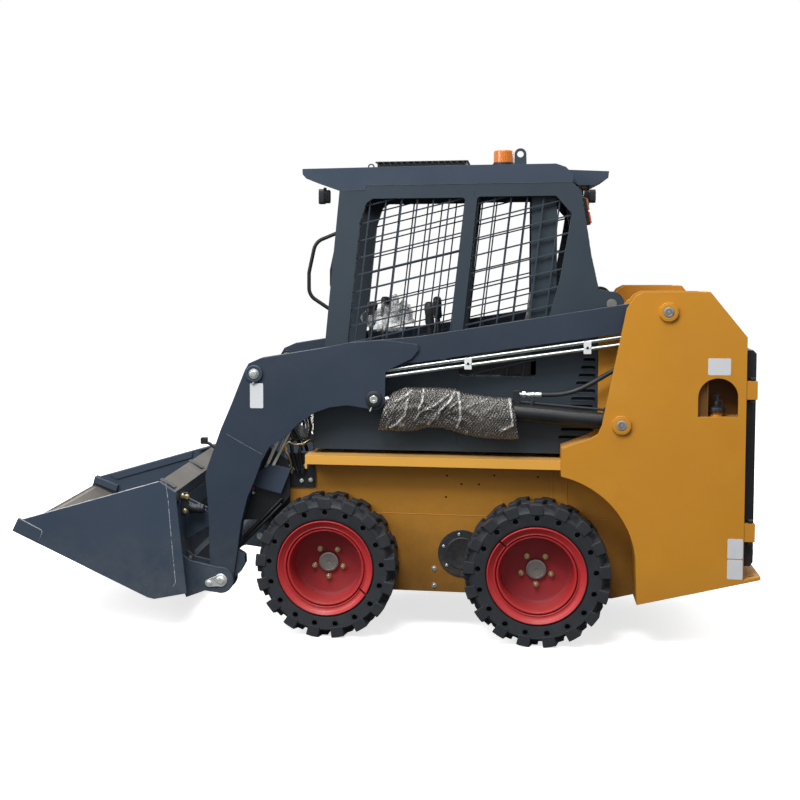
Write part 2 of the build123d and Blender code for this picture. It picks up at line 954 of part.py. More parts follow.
with BuildPart() as boom_cross_tube:
    cross_tube_centre = (foot_pin[0] - 50, 372)
    disc(cross_tube_centre, cross_tube_radius, arm_inner, -arm_inner)
pieces["boom_cross_tube"] = boom_cross_tube

with BuildPart() as tilt_pins:
    disc(tilt_pin, 30, arm_outer + 8, arm_outer)
    disc(tilt_pin, foot_pin_radius - 0.05, arm_outer, tilt_reach - 26)
    disc(tilt_pin, 26, tilt_reach - 26, tilt_reach - 34)
    mirror(about=Plane.XZ)
pieces["tilt_pins"] = tilt_pins

with BuildPart() as hydraulic_blocks:
    slab(
        [
            (front_axle_x + 314, 659),
            (front_axle_x + 246, 699),
            (front_axle_x + 163, 679),
            (front_axle_x + 205, 575),
            (front_axle_x + 323, 604),
        ],
        arm_inner,
        arm_inner - 60,
    )
    mirror(about=Plane.XZ)
pieces["hydraulic_blocks"] = hydraulic_blocks

pipe_radius = 8
pipe_reach = core_outer - pipe_radius - 2
with BuildPart() as boom_pipes:
    pipe_end_x = front_axle_x - 150
    for near_z, far_z in ((1095, 1240), (1071, 1211)):
        start = (pipe_end_x, near_z)
        heading, length = unit(start, (boom_pivot[0] + 250, far_z))
        rod(start, heading, pipe_reach, pipe_radius, 1.3, length)
    # drops from behind the elbow to the hydraulic block, against the arm's inner face
    drop_radius = 6
    drop_reach = arm_inner - drop_radius - 0.3
    for top, foot in (((283, 1000), (421, 694)), ((311, 1000), (444, 702))):
        heading, length = unit(top, foot)
        rod(top, heading, drop_reach, drop_radius, 0, length + 20)
    add(hydraulic_blocks.part, mode=Mode.SUBTRACT)
    mirror(about=Plane.XZ)
pieces["boom_pipes"] = boom_pipes

# ---------------------------------------------------------------- cylinders
eye_width = arm_width - 2 * arm_cheek - 10
rod_pin_reach = eye_width / 2 + 3


def barrel(start, heading, reach, base_radius, radius, rod_radius, length, depth):
    """Cylinder barrel on its base eye, bored for the rod from its open end."""
    disc(start, base_radius, reach + eye_width / 2, reach - eye_width / 2)
    rod(start, heading, reach, radius, base_radius - 4, length)
    rod(start, heading, reach, radius + 4, length - 30, length)
    rod(start, heading, reach, rod_radius + bore_clearance, length - depth, length, Mode.SUBTRACT)


def stroke(base, eye, pivot, turn):
    """How far a rod runs out while its eye turns about a pivot, upwards for a plus turn."""
    arm = Vector(eye[0] - pivot[0], eye[1] - pivot[1]).rotate(Axis.Z, turn)
    return math.dist(base, (pivot[0] + arm.X, pivot[1] + arm.Y)) - math.dist(base, eye)


lift_heading, lift_length = unit(lift_base, lift_pin)
tilt_heading, tilt_length = unit(tilt_pin, tilt_eye)
lift_eye_radius = 34
lift_barrel_length = lift_length - 84
lift_stroke = stroke(lift_base, lift_pin, boom_pivot, lift_range)
tilt_eye_radius = 30
tilt_barrel_length = tilt_length - 62
tilt_stroke = stroke(tilt_pin, tilt_eye, foot_pin, -dump_range)

with BuildPart() as lift_barrels:
    barrel(
        lift_base,
        lift_heading,
        lift_reach,
        40,
        lift_barrel_radius,
        lift_rod_radius,
        lift_barrel_length,
        lift_stroke + 90,
    )
    disc(
        lift_base,
        lift_pin_radius + pin_clearance,
        lift_reach + eye_width / 2,
        lift_reach - eye_width / 2,
        mode=Mode.SUBTRACT,
    )
    mirror(about=Plane.XZ)
pieces["lift_barrels"] = lift_barrels

port_station = 398
port_rise = 77
lift_normal = (-lift_heading[1], lift_heading[0])


def beside_lift_axis(station, rise):
    """Side-view point at a station along the lift cylinder and a height above its axis."""
    return (
        lift_base[0] + lift_heading[0] * station + lift_normal[0] * rise,
        lift_base[1] + lift_heading[1] * station + lift_normal[1] * rise,
    )


hose_start = (-690, 1016)
with BuildPart() as lift_ports:
    # feed tube along the top of the barrel, between two pads
    tube_start = beside_lift_axis(60, lift_barrel_radius + 9)
    rod(tube_start, lift_heading, lift_reach, 5, 0, port_station - 110)
    for pad_station in (60, port_station - 50):
        pad = beside_lift_axis(pad_station, lift_barrel_radius)
        rod(pad, lift_normal, lift_reach, 9, 0, 18)
    # elbow and crimped fitting that the hose leaves
    elbow_foot = beside_lift_axis(port_station, lift_barrel_radius)
    rod(elbow_foot, lift_normal, lift_reach, port_radius, 0, port_rise - lift_barrel_radius + 8)
    elbow_top = beside_lift_axis(port_station, port_rise)
    rod(hose_start, (1, 0), lift_reach, port_radius, 0, elbow_top[0] - hose_start[0])
    mirror(about=Plane.XZ)
pieces["lift_ports"] = lift_ports

# each hose leaves its fitting backwards, rises into the tower and comes down on the tank
hose_route = [
    hose_start,
    (-752, 1016),
    (-818, 1030),
    (-885, 1064),
    (-960, 1112),
    (-1045, 1156),
    (-1140, 1166),
    (-1222, 1138),
    (-1280, 1086),
    (-1310, 1024),
    hose_end,
]


def corner_radii(points):
    """Radius of each corner: as large as its two runs allow."""
    radii = []
    for before, here, after in zip(points, points[1:], points[2:]):
        run_in = Vector(*here) - Vector(*before)
        run_out = Vector(*after) - Vector(*here)
        turn = math.radians(run_in.get_angle(run_out))
        radii.append(0.45 * min(run_in.length, run_out.length) / math.tan(turn / 2))
    return radii


with BuildPart() as lift_hoses:
    hose_points = [(x, lift_reach, z) for x, z in hose_route]
    hose_radii = corner_radii(hose_points)
    print("hose corner radii, mm:", [round(r) for r in hose_radii])
    with BuildLine():
        FilletPolyline(*hose_points, radius=hose_radii)
    hose_heading = Vector(*hose_points[1]) - Vector(*hose_points[0])
    with BuildSketch(Plane(origin=hose_points[0], z_dir=hose_heading)):
        Circle(hose_radius)
    sweep()
    mirror(about=Plane.XZ)
pieces["lift_hoses"] = lift_hoses

with BuildPart() as lift_rods:
    back = unit(lift_pin, lift_base)[0]
    disc(lift_pin, lift_eye_radius, lift_reach + eye_width / 2, lift_reach - eye_width / 2)
    rod(lift_pin, back, lift_reach, lift_rod_radius, 30, 84 + lift_stroke + 60)
    disc(lift_pin, lift_pin_radius, lift_reach + rod_pin_reach, lift_reach - rod_pin_reach)
    mirror(about=Plane.XZ)
pieces["lift_rods"] = lift_rods

with BuildPart() as tilt_barrels:
    barrel(
        tilt_pin,
        tilt_heading,
        tilt_reach,
        34,
        tilt_barrel_radius,
        tilt_rod_radius,
        tilt_barrel_length,
        tilt_stroke + 80,
    )
    disc(
        tilt_pin,
        foot_pin_radius + pin_clearance,
        tilt_reach + eye_width / 2,
        tilt_reach - eye_width / 2,
        mode=Mode.SUBTRACT,
    )
    mirror(about=Plane.XZ)
pieces["tilt_barrels"] = tilt_barrels

with BuildPart() as tilt_rods:
    back = unit(tilt_eye, tilt_pin)[0]
    disc(tilt_eye, tilt_eye_radius, tilt_reach + 17, tilt_reach - 17)
    rod(tilt_eye, back, tilt_reach, tilt_rod_radius, 26, 62 + tilt_stroke + 50)
    mirror(about=Plane.XZ)
pieces["tilt_rods"] = tilt_rods

# loose packing round the front half of each lift cylinder, hanging below it
wrap_radius = 46
wrap_hang = 94
wrap_fold = 14
wrap_start = port_station + 16
wrap_end = lift_barrel_length + 20
with BuildPart() as lift_wraps:
    wrap_origin = (
        lift_base[0] + lift_heading[0] * wrap_start,
        lift_reach,
        lift_base[1] + lift_heading[1] * wrap_start,
    )
    wrap_axis = (lift_heading[0], 0, lift_heading[1])
    with BuildSketch(Plane(origin=wrap_origin, x_dir=(0, 1, 0), z_dir=wrap_axis)):
        Circle(wrap_radius)
        with Locations((0, -wrap_hang)):
            Circle(wrap_fold)
        make_hull()
        Circle(lift_barrel_radius + 4.5, mode=Mode.SUBTRACT)
    extrude(amount=wrap_end - wrap_start)
    mirror(about=Plane.XZ)
pieces["lift_wraps"] = lift_wraps

# ---------------------------------------------------------------- bucket and coupler
tip = (foot_pin[0] + 899, 409)
heel = (foot_pin[0] + 272, 138)
floor_rear = (foot_pin[0] + 302, 144)
back_top = (foot_pin[0] + 217, 620)
back_low = (foot_pin[0] + 189, 158)
side_outline = [
    (foot_pin[0] + 177, 595),
    (foot_pin[0] + 214, 618),
    (foot_pin[0] + 247, 639),
    (foot_pin[0] + 857, 458),
    (foot_pin[0] + 873, 463),
    tip,
    floor_rear,
    heel,
    (foot_pin[0] + 132, 168),
]


def back_line_x(z):
    """Place of the bucket back's rear face at a height."""
    lean = (back_top[0] - back_low[0]) / (back_top[1] - back_low[1])
    return back_low[0] + lean * (z - back_low[1])


with BuildPart() as bucket:
    slab(side_outline, bucket_half, bucket_half - bucket_plate)
    mirror(about=Plane.XZ)
    inner_half = bucket_half - bucket_plate
    shell = [
        back_top,
        (foot_pin[0] + 247, 639),
        (foot_pin[0] + 232, 615),
        (foot_pin[0] + 201, 172),
        (heel[0] + 1, heel[1] + bucket_plate + 1),
        (floor_rear[0] - 5, floor_rear[1] + bucket_plate),
        (tip[0] - 26, tip[1] + 4),
        tip,
        floor_rear,
        heel,
        back_low,
    ]
    slab(shell, inner_half, -inner_half)
    # stiffening channel along the top of the back
    slab(
        [
            (foot_pin[0] + 177, 595),
            (foot_pin[0] + 217, 620),
            (foot_pin[0] + 213.4, 560),
            (foot_pin[0] + 179, 550),
        ],
        inner_half,
        -inner_half,
    )
pieces["bucket"] = bucket

coupler_half = 525
with BuildPart() as coupler:
    plate_front_top = (back_line_x(545), 545)
    plate_front_low = (back_line_x(180), 180)
    slab(
        [
            plate_front_top,
            plate_front_low,
            (plate_front_low[0] - 34, 180),
            (plate_front_top[0] - 34, 545),
        ],
        coupler_half,
        -coupler_half,
    )
    # windows between the coupler's uprights
    block(
        (foot_pin[0] + 100, -300, 260),
        (foot_pin[0] + 230, 300, 470),
        mode=Mode.SUBTRACT,
    )
pieces["coupler"] = coupler

with BuildPart() as coupler_ears:
    foot_ears = (
        (arm_outer + ear_gap + ear_plate, arm_outer + ear_gap),
        (arm_inner - ear_gap, arm_inner - ear_gap - ear_plate),
    )
    for outer, inner in foot_ears:
        slab(
            [
                (foot_pin[0], foot_pin[1] - 55),
                (foot_pin[0] + 68, 166),
                (foot_pin[0] + 150, 134),
                (foot_pin[0] + 170, 180),
                (foot_pin[0] + 170, 320),
                (foot_pin[0] + 133, 292),
                (foot_pin[0] + 8, foot_pin[1] + 54.4),
            ],
            outer,
            inner,
        )
        disc(foot_pin, 55, outer, inner)
        disc(foot_pin, foot_pin_radius, outer, inner, mode=Mode.SUBTRACT)
    rod_ears = (
        (tilt_reach + 22 + ear_plate, tilt_reach + 22),
        (tilt_reach - 22, tilt_reach - 22 - ear_plate),
    )
    for outer, inner in rod_ears:
        slab(
            [
                (tilt_eye[0] - 5, tilt_eye[1] + 35),
                (tilt_eye[0] - 5, tilt_eye[1] - 35),
                (foot_pin[0] + 170, tilt_eye[1] - 90),
                (foot_pin[0] + 175, tilt_eye[1] + 80),
            ],
            outer,
            inner,
        )
        disc(tilt_eye, 35, outer, inner)
    mirror(about=Plane.XZ)
    add(coupler.part, mode=Mode.SUBTRACT)
    add(bucket.part, mode=Mode.SUBTRACT)
pieces["coupler_ears"] = coupler_ears

with BuildPart() as foot_pins:
    ear_face = arm_outer + ear_gap + ear_plate
    disc(foot_pin, foot_pin_radius - 0.05, ear_face + 6, arm_inner - ear_gap - ear_plate)
    retainer_end = (foot_pin[0] + 50, foot_pin[1] - 13)
    with BuildSketch(at_reach(ear_face + 6)):
        with Locations(foot_pin):
            Circle(27)
        with Locations(retainer_end):
            Circle(17)
        make_hull()
    extrude(amount=6)
    disc(foot_pin, 16, ear_face + 12, ear_face + 6)
    disc(retainer_end, 9, ear_face + 12, ear_face + 6)
    mirror(about=Plane.XZ)
pieces["foot_pins"] = foot_pins

# ---------------------------------------------------------------- wheels
bead_inner = tyre_inner + 12
bead_outer = tyre_outer - 12
tyre_section = [
    (rim_radius, bead_inner),
    (rim_radius + 17, bead_inner),
    (rim_radius + 34, tyre_inner),
    (tyre_radius - 14, tyre_inner),
    (tyre_radius, tyre_inner + 14),
    (tyre_radius, tyre_outer - 14),
    (tyre_radius - 14, tyre_outer),
    (rim_radius + 34, tyre_outer),
    (rim_radius + 17, bead_outer),
    (rim_radius, bead_outer),
]
barrel_radius = rim_radius - bead_gap
hub_back = tyre_inner + 30 + pin_clearance
disc_front = tyre_inner + rim_offset
rim_section = [
    (0, hub_back),
    (75, hub_back),
    (75, disc_front - 10),
    (barrel_radius - rim_wall, disc_front - 10),
    (barrel_radius - rim_wall, bead_inner - bead_gap - rim_wall),
    (rim_radius + rim_flange, bead_inner - bead_gap - rim_wall),
    (rim_radius + rim_flange, bead_inner - bead_gap),
    (barrel_radius, bead_inner - bead_gap),
    (barrel_radius, bead_outer + bead_gap),
    (rim_radius + rim_flange, bead_outer + bead_gap),
    (rim_radius + rim_flange, bead_outer + bead_gap + rim_wall),
    (barrel_radius - rim_wall, bead_outer + bead_gap + rim_wall),
    (barrel_radius - rim_wall, disc_front),
    (hub_radius, disc_front),
    (hub_radius, disc_front + 12),
    (0, disc_front + 12),
]


def wheel_part(axle_x, side, section):
    """Turn a (radius, reach) section about the axle of one wheel."""
    across = (0, side, 0)
    plane = Plane(origin=(axle_x, 0, axle_height), x_dir=(1, 0, 0), z_dir=(0, 0, side))
    with BuildPart() as turned:
        with BuildSketch(plane):
            add(polygon(section))
        revolve(axis=Axis((axle_x, 0, axle_height), across))
    return turned


wheel_places = (
    ("front_left", front_axle_x, 1),
    ("front_right", front_axle_x, -1),
    ("rear_left", rear_axle_x, 1),
    ("rear_right", rear_axle_x, -1),
)
for place, axle_x, side in wheel_places:
    pieces[f"tyre_{place}"] = wheel_part(axle_x, side, tyre_section)
    pieces[f"rim_{place}"] = wheel_part(axle_x, side, rim_section)

# ---------------------------------------------------------------- export
os.makedirs("parts", exist_ok=True)
for name, piece in pieces.items():
    piece.part.label = name
    export_step(piece.part, f"parts/{name}.step")
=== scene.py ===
"""Looks of a skid steer loader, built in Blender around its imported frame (metres, +X forwards)."""

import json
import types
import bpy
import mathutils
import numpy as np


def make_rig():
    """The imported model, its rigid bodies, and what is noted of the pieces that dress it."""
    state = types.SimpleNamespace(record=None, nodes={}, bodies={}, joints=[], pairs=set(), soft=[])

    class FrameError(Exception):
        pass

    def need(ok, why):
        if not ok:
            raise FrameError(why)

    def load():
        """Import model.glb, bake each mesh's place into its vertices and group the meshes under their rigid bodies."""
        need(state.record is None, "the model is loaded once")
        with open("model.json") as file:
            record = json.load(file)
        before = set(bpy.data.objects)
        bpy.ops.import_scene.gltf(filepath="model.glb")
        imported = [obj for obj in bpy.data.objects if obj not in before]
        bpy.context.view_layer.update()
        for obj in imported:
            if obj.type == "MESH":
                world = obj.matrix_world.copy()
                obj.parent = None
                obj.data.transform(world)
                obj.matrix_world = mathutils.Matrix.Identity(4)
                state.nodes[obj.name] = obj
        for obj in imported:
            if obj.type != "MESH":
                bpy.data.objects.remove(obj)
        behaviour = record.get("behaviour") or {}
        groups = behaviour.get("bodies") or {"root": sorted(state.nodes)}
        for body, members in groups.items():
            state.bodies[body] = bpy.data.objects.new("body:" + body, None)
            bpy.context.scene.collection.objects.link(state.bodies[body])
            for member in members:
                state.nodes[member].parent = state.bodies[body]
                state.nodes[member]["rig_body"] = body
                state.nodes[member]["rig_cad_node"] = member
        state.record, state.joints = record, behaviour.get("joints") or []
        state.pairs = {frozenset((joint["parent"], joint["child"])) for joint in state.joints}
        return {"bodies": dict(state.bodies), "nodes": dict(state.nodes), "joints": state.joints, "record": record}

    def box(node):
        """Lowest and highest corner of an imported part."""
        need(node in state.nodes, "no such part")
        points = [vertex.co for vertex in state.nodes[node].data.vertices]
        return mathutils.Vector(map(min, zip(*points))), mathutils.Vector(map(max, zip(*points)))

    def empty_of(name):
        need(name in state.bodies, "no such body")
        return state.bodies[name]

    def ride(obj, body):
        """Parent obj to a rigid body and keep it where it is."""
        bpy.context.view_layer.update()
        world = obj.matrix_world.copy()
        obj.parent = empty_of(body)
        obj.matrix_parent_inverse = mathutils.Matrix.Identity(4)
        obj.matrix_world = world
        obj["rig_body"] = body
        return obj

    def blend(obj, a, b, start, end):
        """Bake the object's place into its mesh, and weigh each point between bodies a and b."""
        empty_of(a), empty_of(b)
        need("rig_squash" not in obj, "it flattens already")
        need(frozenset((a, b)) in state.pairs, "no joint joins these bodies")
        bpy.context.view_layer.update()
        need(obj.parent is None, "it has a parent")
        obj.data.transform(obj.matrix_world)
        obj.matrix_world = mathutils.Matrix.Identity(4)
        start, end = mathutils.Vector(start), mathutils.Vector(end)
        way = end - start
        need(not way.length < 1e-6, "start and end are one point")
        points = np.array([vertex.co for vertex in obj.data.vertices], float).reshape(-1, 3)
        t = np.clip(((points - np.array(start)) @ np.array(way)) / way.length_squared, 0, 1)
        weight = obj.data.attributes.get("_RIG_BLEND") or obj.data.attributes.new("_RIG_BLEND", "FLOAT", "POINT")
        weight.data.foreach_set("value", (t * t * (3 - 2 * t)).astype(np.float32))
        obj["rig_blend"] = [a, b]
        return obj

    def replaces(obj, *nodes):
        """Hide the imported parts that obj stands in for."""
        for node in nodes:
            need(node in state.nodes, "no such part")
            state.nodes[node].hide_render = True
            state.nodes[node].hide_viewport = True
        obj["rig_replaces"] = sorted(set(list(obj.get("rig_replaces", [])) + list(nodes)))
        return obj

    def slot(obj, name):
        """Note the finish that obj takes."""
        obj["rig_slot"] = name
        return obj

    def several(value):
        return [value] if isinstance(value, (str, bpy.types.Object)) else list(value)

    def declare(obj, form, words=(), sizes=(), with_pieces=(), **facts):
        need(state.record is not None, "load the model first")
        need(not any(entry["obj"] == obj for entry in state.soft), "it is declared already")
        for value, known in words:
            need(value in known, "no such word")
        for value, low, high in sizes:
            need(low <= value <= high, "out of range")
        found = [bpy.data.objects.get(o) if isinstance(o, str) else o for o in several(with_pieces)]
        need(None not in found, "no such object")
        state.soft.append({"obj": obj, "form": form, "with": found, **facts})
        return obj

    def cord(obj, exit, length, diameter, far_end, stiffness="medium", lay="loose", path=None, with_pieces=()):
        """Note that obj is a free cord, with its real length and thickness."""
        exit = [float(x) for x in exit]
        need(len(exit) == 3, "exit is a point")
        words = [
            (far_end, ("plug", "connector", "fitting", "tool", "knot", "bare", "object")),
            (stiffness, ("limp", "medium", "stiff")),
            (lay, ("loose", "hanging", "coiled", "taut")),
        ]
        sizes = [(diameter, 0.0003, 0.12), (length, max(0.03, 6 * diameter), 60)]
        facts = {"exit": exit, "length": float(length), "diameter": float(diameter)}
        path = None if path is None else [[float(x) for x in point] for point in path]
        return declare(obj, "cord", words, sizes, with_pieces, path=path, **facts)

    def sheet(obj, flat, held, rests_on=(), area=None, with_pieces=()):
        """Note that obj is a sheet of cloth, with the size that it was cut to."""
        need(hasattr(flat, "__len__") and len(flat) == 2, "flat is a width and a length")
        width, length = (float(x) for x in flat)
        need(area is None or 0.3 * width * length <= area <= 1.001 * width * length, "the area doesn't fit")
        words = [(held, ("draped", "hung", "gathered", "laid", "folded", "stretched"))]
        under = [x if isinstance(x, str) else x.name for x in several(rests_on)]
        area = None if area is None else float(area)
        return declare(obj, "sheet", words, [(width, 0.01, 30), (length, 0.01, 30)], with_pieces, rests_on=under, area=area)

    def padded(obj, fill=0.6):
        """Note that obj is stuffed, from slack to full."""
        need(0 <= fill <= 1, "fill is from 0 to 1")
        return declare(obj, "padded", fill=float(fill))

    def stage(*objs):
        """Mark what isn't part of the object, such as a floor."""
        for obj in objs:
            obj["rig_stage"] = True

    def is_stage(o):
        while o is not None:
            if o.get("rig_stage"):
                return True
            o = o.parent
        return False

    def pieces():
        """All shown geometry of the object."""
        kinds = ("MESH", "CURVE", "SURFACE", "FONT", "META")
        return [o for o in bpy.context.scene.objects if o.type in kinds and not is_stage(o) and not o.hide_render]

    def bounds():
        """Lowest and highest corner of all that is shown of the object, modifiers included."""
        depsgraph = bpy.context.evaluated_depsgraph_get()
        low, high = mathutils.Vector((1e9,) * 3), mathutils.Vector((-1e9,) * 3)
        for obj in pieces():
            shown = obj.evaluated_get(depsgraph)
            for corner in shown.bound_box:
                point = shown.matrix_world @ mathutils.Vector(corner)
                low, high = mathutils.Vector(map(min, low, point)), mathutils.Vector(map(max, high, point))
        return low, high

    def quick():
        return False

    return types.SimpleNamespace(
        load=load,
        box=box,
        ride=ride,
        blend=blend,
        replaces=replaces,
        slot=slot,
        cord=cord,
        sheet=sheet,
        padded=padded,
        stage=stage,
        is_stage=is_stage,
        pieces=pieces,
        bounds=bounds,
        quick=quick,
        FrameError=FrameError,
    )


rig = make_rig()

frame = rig.load()

import json
import math

import bmesh
import bpy
from mathutils import Matrix, Vector, noise

CAD_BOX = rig.bounds()
NODES = frame["nodes"]
SIDES = (("left", 1), ("right", -1))

# ---- places taken from the frame
wheel_joints = {j["child"]: Vector(j["pos_m"]) for j in frame["joints"] if j.get("continuous")}
joint_place = {j["name"]: Vector(j["pos_m"]) for j in frame["joints"] if "pos_m" in j}
LIFT_BASE = joint_place["lift_barrel_swing"]
LIFT_HEADING = next(Vector(j["axis"]) for j in frame["joints"]
    if j["name"] == "lift_rod_slide").normalized()
TILT_PIN = joint_place["tilt_barrel_swing"]
FOOT_PIN = joint_place["bucket_tilt"]
BOOM_PIVOT = joint_place["boom_lift"]


def add_object(name, data):
    """New object of the scene that shows some data."""
    made = bpy.data.objects.new(name, data)
    bpy.context.scene.collection.objects.link(made)
    return made


# ---- camera, light and floor
def make_camera():
    """Camera at the left side, a little behind the middle, looking across the machine."""
    yaw, pitch, roll = 0.19426, -0.06702, -0.005325
    ahead = Vector((math.sin(yaw) * math.cos(pitch), -math.cos(yaw) * math.cos(pitch), math.sin(pitch)))
    level = Vector((-math.cos(yaw), -math.sin(yaw), 0))
    upright = level.cross(ahead)
    right = level * math.cos(roll) + upright * math.sin(roll)
    up = upright * math.cos(roll) - level * math.sin(roll)
    camera = bpy.data.cameras.new("camera")
    camera.sensor_width = 36
    camera.lens = 63.95
    camera.shift_x = 0.209
    camera.shift_y = -0.068
    camera.clip_end = 100
    holder = add_object("camera", camera)
    turned = Matrix((right, up, -ahead)).transposed().to_4x4()
    holder.matrix_world = Matrix.Translation((-0.569, 6.342, 1.607)) @ turned
    bpy.context.scene.camera = holder


def area_light(name, place, target, size, power):
    """Soft square lamp that faces a target."""
    light = bpy.data.lights.new(name, "AREA")
    light.size = size
    light.energy = power
    holder = add_object(name, light)
    holder.location = place
    holder.rotation_euler = (Vector(target) - Vector(place)).to_track_quat("-Z", "Y").to_euler()


def mix_shaders(tree, share, first, second, output):
    """Show the second shader where share is 1 and the first where it is 0."""
    pick = tree.nodes.new("ShaderNodeMixShader")
    for source, socket in zip((share, first.outputs[0], second.outputs[0]), pick.inputs):
        tree.links.new(source, socket)
    tree.links.new(pick.outputs[0], tree.nodes[output].inputs["Surface"])


def make_world():
    """Even pale surroundings; white wherever the camera, a gloss or a glass sees them."""
    world = bpy.data.worlds.new("studio")
    bpy.context.scene.world = world
    world.use_nodes = True
    tree = world.node_tree
    back = tree.nodes["Background"]
    back.inputs["Color"].default_value = (1, 1, 1, 1)
    seen = tree.nodes.new("ShaderNodeBackground")
    seen.inputs["Color"].default_value = (1, 1, 1, 1)
    seen.inputs["Strength"].default_value = 1
    back.inputs["Strength"].default_value = 0.34
    path = tree.nodes.new("ShaderNodeLightPath")
    share = path.outputs["Is Camera Ray"]
    for ray in ("Is Transmission Ray", "Is Glossy Ray"):
        either = tree.nodes.new("ShaderNodeMath")
        either.operation = "MAXIMUM"
        tree.links.new(share, either.inputs[0])
        tree.links.new(path.outputs[ray], either.inputs[1])
        share = either.outputs[0]
    mix_shaders(tree, share, back, seen, "World Output")


def make_floor():
    """Pale floor that keeps the shadow under the machine."""
    size = 40
    mesh = bpy.data.meshes.new("floor")
    mesh.from_pydata([(-size, -size, 0), (size, -size, 0), (size, size, 0), (-size, size, 0)], [],
        [(0, 1, 2, 3)])
    floor = add_object("floor", mesh)
    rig.stage(floor)
    material = bpy.data.materials.new("floor")
    material.use_nodes = True
    tree = material.node_tree
    seen = tree.nodes["Principled BSDF"]
    seen.inputs["Base Color"].default_value = (0.88, 0.88, 0.88, 1)
    seen.inputs["Roughness"].default_value = 1
    seen.inputs["Specular IOR Level"].default_value = 0
    seen.inputs["Emission Color"].default_value = (1, 1, 1, 1)
    seen.inputs["Emission Strength"].default_value = 0.72
    # what the floor throws back at the machine is a plain mid grey
    thrown = tree.nodes.new("ShaderNodeBsdfDiffuse")
    thrown.inputs["Color"].default_value = (0.1, 0.1, 0.1, 1)
    path = tree.nodes.new("ShaderNodeLightPath")
    mix_shaders(tree, path.outputs["Is Camera Ray"], thrown, seen, "Material Output")
    floor.data.materials.append(material)


bpy.context.scene.view_settings.view_transform = "Standard"
make_camera()
make_world()
make_floor()
area_light("key", (0.8, 4.4, 6.2), (0, 0, 0.7), 3.0, 410)
area_light("front", (4.2, 4.0, 3.6), (0.6, 0, 0.7), 2.6, 170)
area_light("top", (0, 0, 6.5), (0, 0, 0), 4.0, 380)
area_light("rear", (-5.0, -4.5, 4.5), (0, 0, 0.8), 3.5, 190)


# ---- materials
class Surface:
    """One material: a Principled shader and small helpers that add nodes to it."""

    def __init__(self, name, colour, roughness, metallic=0.0, specular=0.5):
        self.material = bpy.data.materials.new(name)
        self.material.use_nodes = True
        self.tree = self.material.node_tree
        self.shader = self.tree.nodes["Principled BSDF"]
        self.set("Base Color", (*colour, 1))
        self.set("Roughness", roughness)
        self.set("Metallic", metallic)
        self.set("Specular IOR Level", specular)
        self.place = self.node("ShaderNodeTexCoord").outputs["Object"]
        self.colour = None
        self.height = None

    def node(self, kind, **settings):
        made = self.tree.nodes.new(kind)
        for key, value in settings.items():
            setattr(made, key, value)
        return made

    def link(self, start, end):
        self.tree.links.new(start, end)

    def set(self, socket, value):
        self.shader.inputs[socket].default_value = value

    def noise(self, scale, detail=3.0, roughness=0.55, stretch=(1, 1, 1)):
        mapping = self.node("ShaderNodeMapping")
        mapping.inputs["Scale"].default_value = stretch
        self.link(self.place, mapping.inputs["Vector"])
        made = self.node("ShaderNodeTexNoise")
        made.inputs["Scale"].default_value = scale
        made.inputs["Detail"].default_value = detail
        made.inputs["Roughness"].default_value = roughness
        self.link(mapping.outputs[0], made.inputs["Vector"])
        return made.outputs["Fac"]

    def ramp(self, source, low, high, start=0.0, end=1.0):
        """Straight ramp from start to end while source goes from low to high."""
        made = self.node("ShaderNodeMapRange", clamp=True)
        for socket, value in zip(("From Min", "From Max", "To Min", "To Max"), (low, high, start, end)):
            made.inputs[socket].default_value = value
        self.link(source, made.inputs["Value"])
        return made.outputs[0]

    def maths(self, operation, first, second):
        made = self.node("ShaderNodeMath", operation=operation)
        for socket, value in zip(made.inputs, (first, second)):
            if isinstance(value, (int, float)):
                socket.default_value = value
            else:
                self.link(value, socket)
        return made.outputs[0]

    def tint(self, mask, colour):
        """Mix a colour in where mask is 1."""
        made = self.node("ShaderNodeMix", data_type="RGBA")
        if self.colour is None:
            made.inputs["A"].default_value = self.shader.inputs["Base Color"].default_value
        else:
            self.link(self.colour, made.inputs["A"])
        made.inputs["B"].default_value = (*colour, 1)
        self.link(mask, made.inputs["Factor"])
        self.colour = made.outputs["Result"]
        self.link(self.colour, self.shader.inputs["Base Color"])

    def bump(self, height, distance, strength):
        """Add a relief of the given depth in metres."""
        made = self.node("ShaderNodeBump")
        made.inputs["Strength"].default_value = strength
        made.inputs["Distance"].default_value = distance
        self.link(height, made.inputs["Height"])
        if self.height is not None:
            self.link(self.height, made.inputs["Normal"])
        self.height = made.outputs["Normal"]
        self.link(self.height, self.shader.inputs["Normal"])

    def round_edges(self, radius):
        """Soft highlight along every edge, as thick paint leaves."""
        made = self.node("ShaderNodeBevel", samples=4)
        made.inputs["Radius"].default_value = radius
        self.height = made.outputs["Normal"]
        self.link(self.height, self.shader.inputs["Normal"])

    def rough(self, source):
        self.link(source, self.shader.inputs["Roughness"])

    def facing_up(self):
        """1 on faces that look up in the piece's own frame, where dust settles."""
        normal = self.node("ShaderNodeTexCoord").outputs["Normal"]
        split = self.node("ShaderNodeSeparateXYZ")
        self.link(normal, split.inputs[0])
        return self.ramp(split.outputs["Z"], 0.55, 0.95)

    def height_above(self, low, high):
        """0 below low, 1 above high, in metres over the ground."""
        split = self.node("ShaderNodeSeparateXYZ")
        self.link(self.place, split.inputs[0])
        return self.ramp(split.outputs["Z"], low, high)


